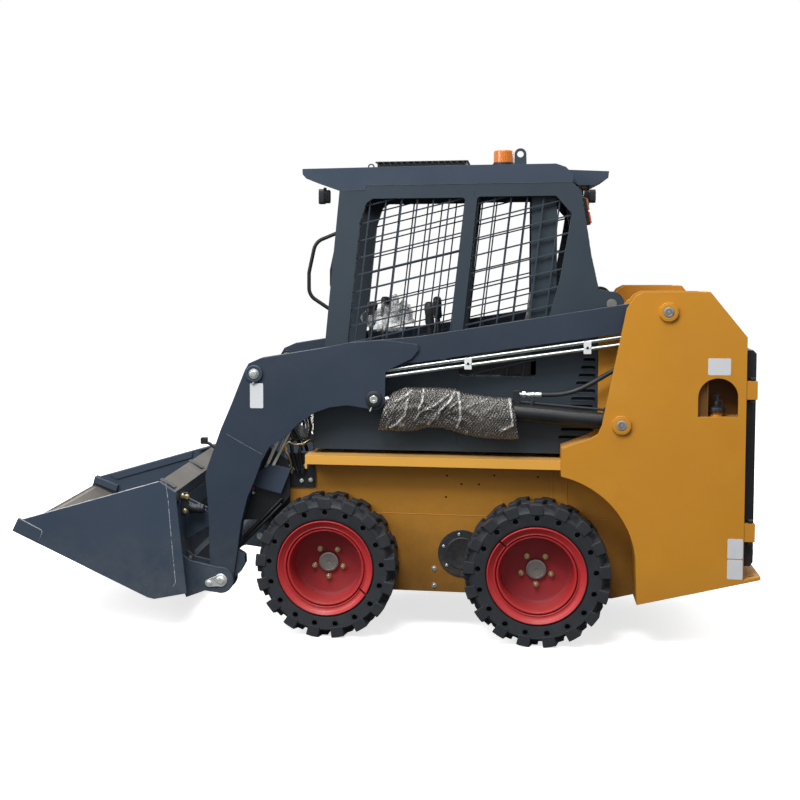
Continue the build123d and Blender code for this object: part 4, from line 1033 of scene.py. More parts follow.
# ---- bubble wrap round the lift cylinders
def bubble_wrap_material():
    """Clear film with slanting rows of bubbles, dark where it lies slack, with painted highlights along its pleats and
    painted glints in fine specks.
    """
    made = Surface("bubble_wrap", (0.034, 0.031, 0.028), 0.2, specular=0.9)

    def rows(turn, pitch):
        """Distance from the nearest of a set of slanting lines, 0 to 1."""
        turned = made.node("ShaderNodeMapping")
        turned.inputs["Rotation"].default_value = (0, math.radians(turn), 0)
        turned.inputs["Scale"].default_value = (1 / pitch,) * 3
        made.link(made.place, turned.inputs["Vector"])
        split = made.node("ShaderNodeSeparateXYZ")
        made.link(turned.outputs[0], split.inputs[0])
        bent = made.maths("ADD", split.outputs["X"], made.ramp(made.noise(16, 3), 0.3, 0.7, -0.6, 0.6))
        return made.maths("MULTIPLY", made.maths("PINGPONG", bent, 0.5), 2.0)

    lattice = made.maths("MULTIPLY", rows(35, 0.0105), rows(-28, 0.0105))
    rims = made.ramp(lattice, 0.22, 0.02)
    made.bump(made.ramp(lattice, 0.0, 0.5), 0.003, 0.9)
    made.bump(made.noise(48, 5, 0.7), 0.005, 0.8)
    made.tint(made.maths("MULTIPLY", rims, made.ramp(made.noise(11, 4), 0.35, 0.65, 0.35, 1)),
        (0.21, 0.195, 0.17))
    made.tint(made.ramp(made.noise(7, 4, 0.6, (1, 1, 0.6)), 0.52, 0.68, 0, 0.45), (0.16, 0.15, 0.135))
    # near-white along the pleats and in random streaks: painted highlight
    ridge = made.node("ShaderNodeAttribute", attribute_name="pleat").outputs["Fac"]
    pleats = made.maths("MAXIMUM", made.ramp(ridge, 0.35, 0.8),
        made.ramp(made.noise(12, 4), 0.66, 0.72, 0, 0.6))
    glints = made.ramp(made.noise(150, 3, 0.7), 0.4, 0.56)
    made.tint(made.maths("MULTIPLY", pleats, glints), (0.92, 0.92, 0.9))
    # fine near-white specks: painted glints
    made.tint(made.ramp(made.noise(330, 2, 0.7), 0.67, 0.71), (0.9, 0.9, 0.88))
    made.link(made.ramp(made.noise(18, 4), 0.35, 0.6, 0.78, 0.96), made.shader.inputs["Alpha"])
    made.rough(made.ramp(made.noise(150, 3), 0.3, 0.7, 0.12, 0.34))
    return made.material


bubble_wrap = bubble_wrap_material()
# side view of the wrap: top and bottom edge at stations from its rear end to its front end
WRAP_TOP = [(-580, 968), (-572, 1003), (-508, 1003), (-440, 1010), (-377, 1019), (-341, 1037), (-270, 1041),
    (-201, 1039), (-142, 1040), (-92, 1020), (-70, 1000), (-61, 975)]
WRAP_LOW = [(-599, 832), (-560, 831), (-500, 832), (-440, 836), (-378, 848), (-320, 866), (-276, 874),
    (-231, 873), (-190, 860), (-130, 855), (-70, 857), (-26, 860)]
WRAP_PINCH = Vector((-300, 940))
PLEAT_WIDTH = 10
# sharp pleats of the film in side view, with their strength
WRAP_PLEATS = (([(-357, 1022), (-364, 975), (-366, 917), (-352, 880)], 1.0),
    ([(-345, 1024), (-318, 985), (-268, 930), (-235, 888)], 1.0),
    ([(-316, 1012), (-262, 970), (-200, 940), (-180, 905)], 0.8), ([(-283, 940), (-270, 905)], 0.7),
    ([(-216, 1034), (-211, 985), (-196, 950)], 0.9), ([(-166, 1030), (-140, 1005), (-102, 985)], 0.8),
    ([(-152, 990), (-140, 925), (-104, 888), (-80, 872)], 1.0),
    ([(-562, 998), (-570, 940), (-576, 890), (-530, 868)], 0.9),
    ([(-480, 1002), (-440, 985), (-390, 965)], 0.6), ([(-392, 862), (-390, 838)], 0.8),
    ([(-52, 955), (-78, 905), (-60, 868)], 0.6))


def pleat_at(spot):
    """How close a point of the film is to a pleat, 0 to 1."""
    best = 0.0
    for line, strength in WRAP_PLEATS:
        for start, end in zip(line, line[1:]):
            start, end = Vector(start), Vector(end)
            share = max(0.0, min(1.0, (spot - start).dot(end - start) / (end - start).length_squared))
            gap = (spot - start.lerp(end, share)).length
            best = max(best, strength * (1 - gap / PLEAT_WIDTH))
    return best


def build_wrap(side_name, side):
    """Sleeve that hugs the barrel on top and hangs below it, gathered at the pinch."""
    stations, rows, round_count = len(WRAP_TOP), 170, 96
    film = Build()
    layer = film.mesh.verts.layers.float.new("pleat")
    grid = []
    for row in range(rows + 1):
        share = row / rows * (stations - 1)
        k = min(int(share), stations - 2)
        mix = share - k
        mix = mix * mix * (3 - 2 * mix)
        top = Vector(WRAP_TOP[k]).lerp(Vector(WRAP_TOP[k + 1]), mix)
        low = Vector(WRAP_LOW[k]).lerp(Vector(WRAP_LOW[k + 1]), mix)
        ring = []
        for step in range(round_count):
            turn = math.tau * step / round_count
            sign = 1 if turn < math.pi else -1
            # 0 at the top, 1 at the bottom fold
            depth = (1 - math.cos(turn)) / 2
            spot = top.lerp(low, depth)
            bow = abs(math.sin(turn))
            width = 45 * bow ** 0.75 * (1 - 0.55 * max(0.0, depth - 0.45) / 0.55)
            away = (spot - WRAP_PINCH).length
            fan = math.atan2(spot.y - WRAP_PINCH.y, spot.x - WRAP_PINCH.x)
            pull = math.exp(-away / 150)
            crease = math.sin(fan * 7 + 4 * noise.noise(Vector((spot.x, spot.y, side * 40)) / 70))
            ripple = noise.noise(Vector((spot.x * 1.6, spot.y, side * sign * turn * 9)) / 26)
            fine = noise.noise(Vector((spot.x, spot.y * 1.4, turn * 15 + side * 7)) / 9)
            pleat = pleat_at(spot)
            swell = 9 * pull * (0.5 - abs(crease)) + 5 * ripple + 1.2 * fine + 7 * pleat
            width = max(4.0, width + swell * (0.4 + 0.6 * bow)) * min(1.0, 12 * bow)
            point = film.mesh.verts.new(mm(spot.x, side * LIFT_REACH + sign * width, spot.y + 2.5 * ripple))
            point[layer] = pleat
            ring.append(point)
        grid.append(ring)
    film.skin(grid)
    wrap = film.piece(f"bubble_wrap_{side_name}", "lift_barrel", "bubble_wrap", bubble_wrap, smooth=180)
    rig.replaces(wrap, "lift_wraps")
    declare_sheet(wrap, 0.58, ["lift_barrels"])


for side_name, side in SIDES:
    build_wrap(side_name, side)


# ---- seat
SEAT_PULL, SEAT_SWELL = 0.95, 0.012  # the pad before the pressure, and how far it may swell


def cushion(node, name, crown):
    """Padded piece blown up a little from its solid by cloth pressure; crown is the way it faces."""
    mesh = NODES[node].data.copy()
    low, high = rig.box(node)
    middle = (low + high) / 2
    for vertex in mesh.vertices:
        vertex.co = middle + (vertex.co - middle) * SEAT_PULL
    pad = add_object(name, mesh)
    even = pad.modifiers.new("even", "REMESH")
    even.mode = "VOXEL"
    even.voxel_size = 0.011
    graph = bpy.context.evaluated_depsgraph_get()
    pad.data = bpy.data.meshes.new_from_object(pad.evaluated_get(graph))
    pad.modifiers.clear()
    before = [v.co.copy() for v in pad.data.vertices]
    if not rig.quick():
        cloth = pad.modifiers.new("cloth", "CLOTH")
        cloth.settings.use_pressure = True
        cloth.settings.uniform_pressure_force = 4
        cloth.settings.effector_weights.gravity = 0
        for frame_number in range(1, 21):
            bpy.context.scene.frame_set(frame_number)
        graph = bpy.context.evaluated_depsgraph_get()
        swollen = bpy.data.meshes.new_from_object(pad.evaluated_get(graph))
        pad.modifiers.clear()
        for vertex, start in zip(swollen.vertices, before):
            move = vertex.co - start
            if move.length > SEAT_SWELL:
                vertex.co = start + move.normalized() * SEAT_SWELL
        pad.data = swollen
        bpy.context.scene.frame_set(1)
    # sewn channels across the pad, and soft creases
    direction = Vector((0, 0, 1)) if crown == "z" else Vector((1, 0, 0))
    for vertex in pad.data.vertices:
        if crown == "z":
            share = (vertex.co - low).x / (high.x - low.x)
        else:
            share = (vertex.co.z - low.z) / (high.z - low.z)
        channel = min(abs(share - line) for line in (0.3, 0.52, 0.74))
        dip = 0.006 * math.exp(-(channel * 45) ** 2)
        if (vertex.co - middle).dot(direction) > 0 and abs(vertex.co.y) < high.y - 0.04:
            vertex.co -= direction * dip
        vertex.co = Vector(min(max(c, a + 0.001), b - 0.001) for c, a, b in zip(vertex.co, low, high))
    pad.data.shade_smooth()
    pad.data.materials.clear()
    pad.data.materials.append(seat_vinyl)
    pad.modifiers.new("smooth", "SUBSURF").render_levels = 1
    pad.modifiers["smooth"].levels = 1
    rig.slot(pad, "seat_vinyl")
    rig.replaces(pad, node)
    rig.ride(pad, "cab")
    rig.padded(pad, fill=0.7)


cushion("seat_cushion", "seat_cushion_pad", "z")
cushion("seat_backrest", "seat_backrest_pad", "x")


# ---- levers and their film
CONSOLE_INNER, CONSOLE_OUTER = 270, 1000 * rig.box("control_levers")[1].y
REAR_GRIP_REACH = 332
for side_name, side in SIDES:
    console = Build()
    slab(console, [(-248, 775), (58, 775), (58, 1080), (30, 1119), (-225, 1119), (-248, 1095)],
        CONSOLE_INNER + 2, CONSOLE_OUTER - 1, side)
    console.piece(f"console_{side_name}", "cab", "black_paint", cap_plastic, 0.006, 35)
    lever = Build()
    y = side * (CONSOLE_INNER + CONSOLE_OUTER) / 2
    lever.lathe(mm(20, y, 1118), (0, 0, 1), [(0, 0), (0.04, 0), (0.04, 0.004), (0.034, 0.01),
        (0.037, 0.016), (0.028, 0.024), (0.031, 0.03), (0.022, 0.038), (0.024, 0.044), (0.014, 0.054),
        (0.01, 0.06), (0, 0.06)], 28)
    tube(lever, line_at(y, (20, 1170), (20, 1240), (18, 1275), (14, 1298)), 0.0085, 16)
    rear_grip = mm(-231, side * REAR_GRIP_REACH, 1288)
    tube(lever, [mm(-238, side * REAR_GRIP_REACH, 1105), mm(-236, side * REAR_GRIP_REACH, 1200), rear_grip],
        0.01, 16)
    lever.lathe(rear_grip, (0.05, 0, 1), [(0, -0.004), (0.016, -0.002), (0.0195, 0.014), (0.018, 0.04),
        (0.0205, 0.07), (0.019, 0.09), (0.012, 0.098), (0, 0.1)], 28)
    grip = [(0, -0.004), (0.014, -0.002), (0.019, 0.012), (0.0165, 0.03), (0.02, 0.046), (0.0175, 0.062),
        (0.021, 0.078), (0.022, 0.09), (0.016, 0.098), (0, 0.1)]
    lever.lathe(mm(16, y, 1288), (-0.06, 0, 1), grip, 28)
    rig.replaces(lever.piece(f"lever_{side_name}", "cab", "black_paint", cap_plastic, smooth=50),
        "control_levers")


def film_material():
    """Thin clear film, crumpled; its pale cloudy patches and thin bright streaks are painted glints, its dark streaks
    painted shade.
    """
    made = Surface("clear_film", (0.55, 0.57, 0.58), 0.12, specular=0.9)
    made.bump(made.noise(15, 3, 0.6), 0.012, 1.0)
    # cloudier where it glints: painted glints
    glints = made.ramp(made.noise(10, 3, 0.5, (1.4, 1.4, 0.6)), 0.45, 0.62, 0.12, 0.72)
    made.link(glints, made.shader.inputs["Alpha"])
    # dark streaks: painted shade; thin bright streaks: painted glints
    made.tint(made.ramp(made.noise(13, 3, 0.5, (1.6, 1.6, 0.5)), 0.42, 0.52), (0.1, 0.11, 0.12))
    made.tint(made.ramp(made.noise(16, 3, 0.5, (1.6, 1.6, 0.5)), 0.58, 0.61), (0.95, 0.96, 0.97))
    return made.material


clear_film = film_material()


def film(name, centre, size, seed, rests):
    """Crumpled film thrown over something: a bag of sharp folds, open below."""
    bag = Build()
    bmesh.ops.create_icosphere(bag.mesh, subdivisions=5, radius=1)
    for vertex in bag.mesh.verts:
        x, y, z = vertex.co
        fold = abs(noise.noise(Vector((x * 2.6, y * 2.6, z * 0.9)) + Vector((seed, 0, 0))))
        crumple = abs(noise.noise(Vector((x * 3.6, y * 3.6, z * 1.6)) + Vector((0, seed, 0))))
        reach = 0.66 + 1.0 * fold - 0.2 * crumple - 0.3 * max(0.0, z)
        vertex.co = centre + Vector(p * s * reach for p, s in zip((x, y, z), size))
    open_below = [f for f in bag.mesh.faces if f.calc_center_median().z < centre.z - size[2] * 0.62]
    bmesh.ops.delete(bag.mesh, geom=open_below, context="FACES")
    thrown = bag.piece(name, "cab", "bubble_wrap", clear_film, smooth=180, outwards=False)
    declare_sheet(thrown, 0.5, rests)


for side_name, side in SIDES:
    film(f"lever_film_{side_name}", Vector((-0.045, side * 0.312, 1.315)), (0.085, 0.04, 0.085), 3.0 * side,
        [f"lever_{side_name}"])


# ---- cab
LOUVERS, LOUVER_TOP, LOUVER_PITCH = 11, 1153, 32

for side_name, side in SIDES:
    slots = Build()
    lips = Build()
    face = CAB_FACE
    wall_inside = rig.box("cab_rear_wall")[1].y * 1000 - 1
    for row in range(LOUVERS):
        z = LOUVER_TOP - LOUVER_PITCH * row
        front = -856 + 9.7 * row
        rear = -905 + (8 if row > 5 else 0)
        slab(slots, slot_line(rear, front, z, 18), face, face + 0.4, side)
        ring = [mm(x, side * (face + 0.3), h) for x, h in slot_line(rear, front, z, 19)]
        tube(lips, ring, 0.0013, 6, closed=True)
        # the pressed-in lower lip catches the light
        lower = [(x, h) for x, h in slot_line(rear + 6, front, z, 16) if h <= z - 1]
        slab(lips, lower, face + 0.2, face + 0.9, side)
    # black faces of the slots: painted shade of the pressed-in louvres
    slots.piece(f"louvers_{side_name}", "cab", "slate_paint", void_painted_shade)
    lips.piece(f"louver_lips_{side_name}", "cab", "slate_paint", slate_cab_shaded, smooth=60)

    seams = Build()
    bead(seams, line_at(side * face, (126, 1853), (34, 1854), (30, 1873), (-806, 1875)), 0.0014, 0.008, 0.4)
    bead(seams, line_at(side * (face - 1), (-839, 1842), (-882, 1574), (-912, 1440)), 0.0022, 0.007, 0.8)
    bead(seams, line_at(side * face, (-416, 1850), (-412, 1822)), 0.0012, 0.007)
    bead(seams, line_at(side * face, (-345, 1112), (-345, 790)), 0.0011, 0.008, 0.3)
    seams.piece(f"cab_seams_{side_name}", "cab", "slate_paint", slate_cab_shaded, smooth=60)
    # roll-over post behind the seat, from the floor to the roof
    plate(f"roll_post_{side_name}", "cab", "slate_paint", slate_cab_shaded, side,
        [([(-645, 775), (-645, 1854), (-748, 1854), (-748, 775)], wall_inside - 25, wall_inside)], 0.002,
        30)

    # tail lamps stand on the rear wall beside the window
    plate(f"tail_lamp_body_{side_name}", "cab", "lamp_black", black_paint, side,
        [([(-839, 1818), (-862, 1815), (-882, 1703), (-858, 1700)], 300, 346)], 0.003, 40)
    for part, top_z, low_z, lens in (("upper", 1812, 1762, beacon_orange),
            ("lower", 1758, 1708, tail_lens)):
        glass = Build()
        lean = (1815 - 1703) / (-862 + 882)
        points = []
        for z, out in ((top_z, 0), (top_z - 3, 6), (low_z + 3, 6), (low_z, 0)):
            points.append((-862 - (1815 - z) / lean - out, z))
        points += [(points[-1][0] + 3, low_z), (points[0][0] + 3, top_z)]
        slab(glass, points, 304, 342, side)
        glass.piece(f"tail_lamp_{part}_{side_name}", "cab", "beacon_orange", lens, 0.002, 40)

# beacon: ribbed foot, fluted lens, cap
low, high = (1000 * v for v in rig.box("beacon"))
middle = (low + high) / 2
foot = Build()
foot.lathe(mm(middle.x, middle.y, low.z), (0, 0, 1), [(0, 0), (0.046, 0), (0.046, 0.004), (0.043, 0.005),
    (0.043, 0.008), (0.045, 0.009), (0.045, 0.012), (0.042, 0.013), (0.042, 0.016), (0, 0.016)], 48)
foot.piece("beacon_foot", "cab", "beacon_orange", cap_plastic, smooth=35)
lens = Build()
FLUTES = 28
rings = []
for radius, height in ((0.0415, 0.0145), (0.0415, 0.058), (0.0395, 0.0635), (0.034, 0.066), (0.03, 0.0665),
        (0.0285, 0.0655), (0, 0.0655)):
    ring = []
    for step in range(FLUTES * 6 if radius else 1):
        turn = math.tau * step / (FLUTES * 6)
        size = radius * (1 - 0.016 * (0.5 + 0.5 * math.cos(turn * FLUTES)) * (height < 0.06))
        spoke = Vector((size * math.cos(turn), size * math.sin(turn), height))
        ring.append(lens.mesh.verts.new(mm(middle.x, middle.y, low.z) + spoke))
    rings.append(ring)
lens.skin(rings)
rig.replaces(lens.piece("beacon_lens", "cab", "beacon_orange", beacon_orange, smooth=30), "beacon")

# roof vent: tray, slanted slats, lid and a small hoop in front
low, high = (1000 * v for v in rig.box("roof_vent"))
vent = Build()
vent.prism(rounded((low.x, low.y), (high.x, high.y), 18), mm, low.z, low.z + 6)
vent.prism(rounded((low.x + 18, low.y + 14), (high.x - 26, high.y - 14), 14), mm, high.z - 5, high.z)
vent.prism(rounded((low.x + 26, low.y + 24), (high.x - 34, high.y - 24), 10), mm, low.z + 5, high.z - 4)
VENT_SLATS, VENT_PITCH = 15, 26
for number in range(VENT_SLATS):
    x = low.x + 22 + number * VENT_PITCH
    slab(vent, [(x, low.z + 5), (x + 6, low.z + 5), (x + 22, high.z - 4), (x + 16, high.z - 4)], low.y + 6,
        high.y - 6)
vent_piece = vent.piece("roof_vent_slats", "cab", "black_paint", black_paint, 0.0012, 35)
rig.replaces(vent_piece, "roof_vent")
hoop = Build()
hoop_line = [(high.x + 4, low.z), *arc(high.x - 6, low.z + 12, 12, 20, 140, 8), (high.x - 18, low.z + 3)]
tube(hoop, line_at(150, *hoop_line), 0.003, 10)
hoop.piece("vent_hoop", "cab", "black_paint", black_paint, smooth=60)

# work lamps: housing with a bezel, a lens and a bracket
for side_name, side in SIDES:
    for place, x, y, z, facing in (("front", 205, 360, 1830, 1), ("rear", -877, 255, 1822, -1)):
        half_y, half_z = (34, 31) if place == "front" else (34, 27)
        depth = 26

        def outline(margin, radius):
            return rounded((side * y - half_y + margin, z - half_z + margin),
                (side * y + half_y - margin, z + half_z - margin), radius)

        house = Build()
        house.prism(outline(0, 9), facing_x, x + facing * 4, x + facing * depth)
        house.prism(outline(7, 8), facing_x, x - facing * 18, x + facing * 6)
        for fin in range(4):
            fin_x = x - facing * (16 - 5 * fin)
            house.prism(outline(3, 7), facing_x, fin_x, fin_x + 1.6)
        top = 1862 if place == "front" else 1866
        house.box(mm(x - 3, side * y - 7, z + half_z - 4), mm(x + 9, side * y + 7, top + 6))
        shell = house.piece(f"{place}_lamp_{side_name}", "cab", "lamp_black", black_paint, 0.0015, 35)
        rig.replaces(shell, "work_lights")
        glass = Build()
        glass.prism(outline(7, 8), facing_x, x + facing * (depth - 4), x + facing * (depth + 1.5))
        glass.piece(f"{place}_lamp_glass_{side_name}", "cab", "lamp_black", lamp_lens, 0.001, 35)


# ---- boom
TAIL_REACH = 490  # of the pipes' ends beside the tower


def bolt(build, centre, axis, across, height, washer=0.0):
    """Hexagon bolt head on a washer, in metres."""
    axis = Vector(axis)
    if washer:
        build.disc(centre, axis, washer, 0.0015, 24)
        centre = centre + axis.normalized() * 0.0015
    build.hexagon(centre, axis, across, height * 0.85, 0.3)
    build.lathe(centre, axis, [(0, 0), (across * 0.47, 0), (across * 0.44, height), (0, height)], 20)


for side_name, side in SIDES:
    out = Vector((0, side, 0))
    face = ARM_FACE
    # clamps that hold the pair of pipes under the beam
    clamps = Build()
    straps = Build()
    for x, low_z, high_z in ((-395, 1117, 1165), (-867, 1184, 1235)):
        middle_z = (low_z + high_z) / 2
        for start, end in ((low_z, middle_z - 1), (middle_z + 1, high_z)):
            slab(clamps, rounded((x - 15, start), (x + 15, end), 3), face - 29, face - 9, side)
        slab(clamps, rounded((x - 13, middle_z - 4), (x + 13, middle_z + 4), 3), face - 28, face - 8, side)
        slab(straps, rounded((x - 9, high_z - 1), (x + 9, high_z + 30), 2), face - 23, face - 15, side)
        straps.disc(mm(x, side * (face - 9), middle_z), out, 0.0055, 0.002, 20)
    clamps.piece(f"pipe_clamps_{side_name}", "boom", "cap_plastic", clamp_white, 0.0015, 35)
    straps.piece(f"clamp_straps_{side_name}", "boom", "black_paint", black_paint, 0.0008, 35)

    tails = Build()
    for near_z, far_z in ((1240, 1254), (1211, 1224)):
        tube(tails, line_at(side * TAIL_REACH, (-915, near_z - 0.9), (-1008, far_z)), 0.0081, 20)
    tails.piece(f"pipe_tails_{side_name}", "boom", "zinc_plate", pipe_zinc, smooth=40)

    welds = Build()
    y = side * (face - 9)
    cheek = line_at(y, (-1, 1221), (-80, 1222), (-142, 1219), (-170, 1208), (-180, 1190), (-178, 1168),
        (-165, 1152), (-120, 1132), (-68, 1114))
    bead(welds, cheek, 0.0022, 0.006, 0.5)
    welds.piece(f"cheek_weld_{side_name}", "boom", "slate_paint", slate_boom_shaded, smooth=60)
    # pale bead along the seam of the leg: painted highlight
    seam = Build()
    bead(seam, line_at(side * face, (609, 835), (550, 802), (457, 752)), 0.0011, 0.006, 0.6)
    seam.piece(f"leg_seam_{side_name}", "boom", "slate_paint", seam_highlight, smooth=60)

    plate(f"leg_plate_{side_name}", "boom", "slate_paint", blank_white, side,
        [(rounded((450, 946), (506, 1051), 5), face, face + 0.7)], 0.0003, 30)

    # front pin of the leg: collar, bolt and grease nipple
    pins = Build()
    collars = Build()
    spot = mm(TILT_PIN.x * 1000, side * (face + 8), TILT_PIN.z * 1000)
    collars.lathe(spot, out, [(0.0135, -0.004), (0.034, -0.008), (0.0365, -0.007), (0.0365, 0.001),
        (0.0335, 0.003), (0.0285, 0.003), (0.027, 0.001), (0.0135, 0.001)], 40)
    pins.lathe(spot, out, rect(0, 0.001, 0.0215, 0.0028), 32)
    pins.hexagon(spot + out * 0.0028, out, 0.03, 0.01, 0.3)
    pins.lathe(spot + out * 0.0128, out, [(0, 0), (0.0135, 0), (0.012, 0.0012), (0, 0.0012)], 24)
    pins.bar(spot + Vector((0, 0, -0.032)) - out * 0.002, spot + Vector((0.004, 0, -0.043)) - out * 0.002,
        0.0042)
    collars.piece(f"leg_pin_collar_{side_name}", "boom", "black_paint", slate_paint, 0.0008, 35)
    pins.piece(f"leg_pin_bolt_{side_name}", "boom", "zinc_plate", zinc_plate, 0.0006, 35)

    # pin of the lift cylinder's rod: ring, pin end, flange bolt and nipple below
    spot = mm(-13, side * (face + 10), 991)
    rings = Build()
    rings.lathe(spot, out, [(0.0155, -0.008), (0.033, -0.009), (0.0345, -0.006), (0.0325, 0.0015),
        (0.0255, 0.004), (0.0155, 0.0045)], 40)
    rings.lathe(spot + Vector((0.013, 0, -0.036)), out, rect(0, -0.009, 0.013, -0.006), 24)
    rings.piece(f"lift_pin_ring_{side_name}", "boom", "black_paint", black_paint, 0.0008, 35)
    pins = Build()
    pins.lathe(spot, out, [(0, 0), (0.0165, 0), (0.0165, 0.004), (0.015, 0.0055), (0.005, 0.0055),
        (0.004, 0.004), (0, 0.004)], 32)
    pins.bar(spot + Vector((0.008, 0, -0.033)) - out * 0.004, spot + Vector((0.015, 0, -0.05))
        - out * 0.004, 0.0034)
    pins.piece(f"lift_pin_end_{side_name}", "boom", "zinc_plate", zinc_plate, 0.0005, 35)

# ---- towers
CAP_STEPS = 72  # corners round the fuel cap, four to a rib
COLLAR_RADIUS = 39.5
FILLER_X, FILLER_REACH = -1362, 508

for side_name, side in SIDES:
    out = Vector((0, side, 0))
    face = TOWER_FACE
    collars = Build()
    heads = Build()
    for place in (BOOM_PIVOT, LIFT_BASE):
        x, z = place.x * 1000, place.z * 1000
        turns = [math.tau * (step + 0.5) / 8 for step in range(8)]
        octagon = [(x + COLLAR_RADIUS * math.cos(turn), z + COLLAR_RADIUS * math.sin(turn))
            for turn in turns]
        slab(collars, octagon, face - 1, face + 6.5, side)
        spot = mm(x, side * (face + 12), z)
        collars.lathe(spot, out, [(0.02, -0.006), (0.0345, -0.006), (0.033, -0.001), (0.03, 0.0008),
            (0.02, 0.0008)], 40)
        heads.lathe(spot, out, [(0, 0), (0.0205, 0), (0.0205, 0.0015), (0.0185, 0.0022), (0.013, 0.0022),
            (0.012, 0.0012), (0.005, 0.0012), (0.0042, 0.0024), (0, 0.0024)], 40)
    collars.piece(f"tower_collars_{side_name}", "chassis", "ochre_paint", ochre_paint, 0.0012, 30)
    heads.piece(f"tower_pin_ends_{side_name}", "chassis", "pin_steel", pin_face, smooth=35)

    plate(f"tower_plates_{side_name}", "chassis", "ochre_paint", blank_white, side,
        [(rounded((-1407, 1110), (-1322, 1176), 5), face, face + 0.7),
        (rounded((-1464, 306), (-1406, 384), 5), face, face + 0.7),
        (rounded((-1464, 388), (-1406, 467), 5), face, face + 0.7)], 0.0003, 30)

    # fuel cap: painted neck, ribbed skirt, domed lid and a hasp with its lock
    x, y = FILLER_X, side * FILLER_REACH
    neck = Build()
    neck.lathe(mm(x, y, 944), (0, 0, 1), [(0, 0), (0.026, 0), (0.026, 0.004), (0.0235, 0.006),
        (0.0235, 0.024), (0, 0.024)], 40)
    neck.piece(f"fuel_neck_{side_name}", "chassis", "ochre_paint", ochre_paint, 0.0008, 35)
    cap = Build()
    rings = []
    for radius, height, rib in ((0.0305, 961, 0), (0.0335, 962, 1), (0.0335, 976, 1), (0.031, 980, 0),
            (0.024, 984, 0), (0.01, 986, 0)):
        ring = []
        for step in range(CAP_STEPS):
            turn = math.tau * step / CAP_STEPS
            size = radius - 0.0018 * rib * (step % 4 < 2)
            spoke = Vector((size * math.cos(turn), size * math.sin(turn), 0))
            ring.append(cap.mesh.verts.new(mm(x, y, height) + spoke))
        rings.append(ring)
    cap.skin(rings)
    cap.mesh.faces.new(rings[-1])
    cap.mesh.faces.new(list(reversed(rings[0])))
    cap.lathe(mm(x, y, 984), (0, 0, 1), [(0, 0), (0.0115, 0), (0.0115, 0.016), (0.01, 0.019), (0, 0.019)],
        32)
    slab(cap, rounded((x - 9, 1000), (x + 3, 1030), 4), y * side - 5, y * side + 5, side)
    tube(cap, line_at(y, *arc(x + 5, 1017, 10, -60, 270, 12)), 0.0028, 10)
    tube(cap, line_at(y, (x - 22, 983), (x - 25, 996), (x - 16, 1006), (x - 8, 1006)), 0.0032, 10)
    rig.replaces(cap.piece(f"fuel_cap_{side_name}", "chassis", "cap_plastic", cap_plastic, smooth=35),
        "fuel_caps")

# ---- chassis sides
NOSE_FACE = 374
CHAIN_COVER_X, CHAIN_COVER_Z = -370.5, 330
COVER_BOLTS, COVER_BOLT_CIRCLE = 6, 0.082

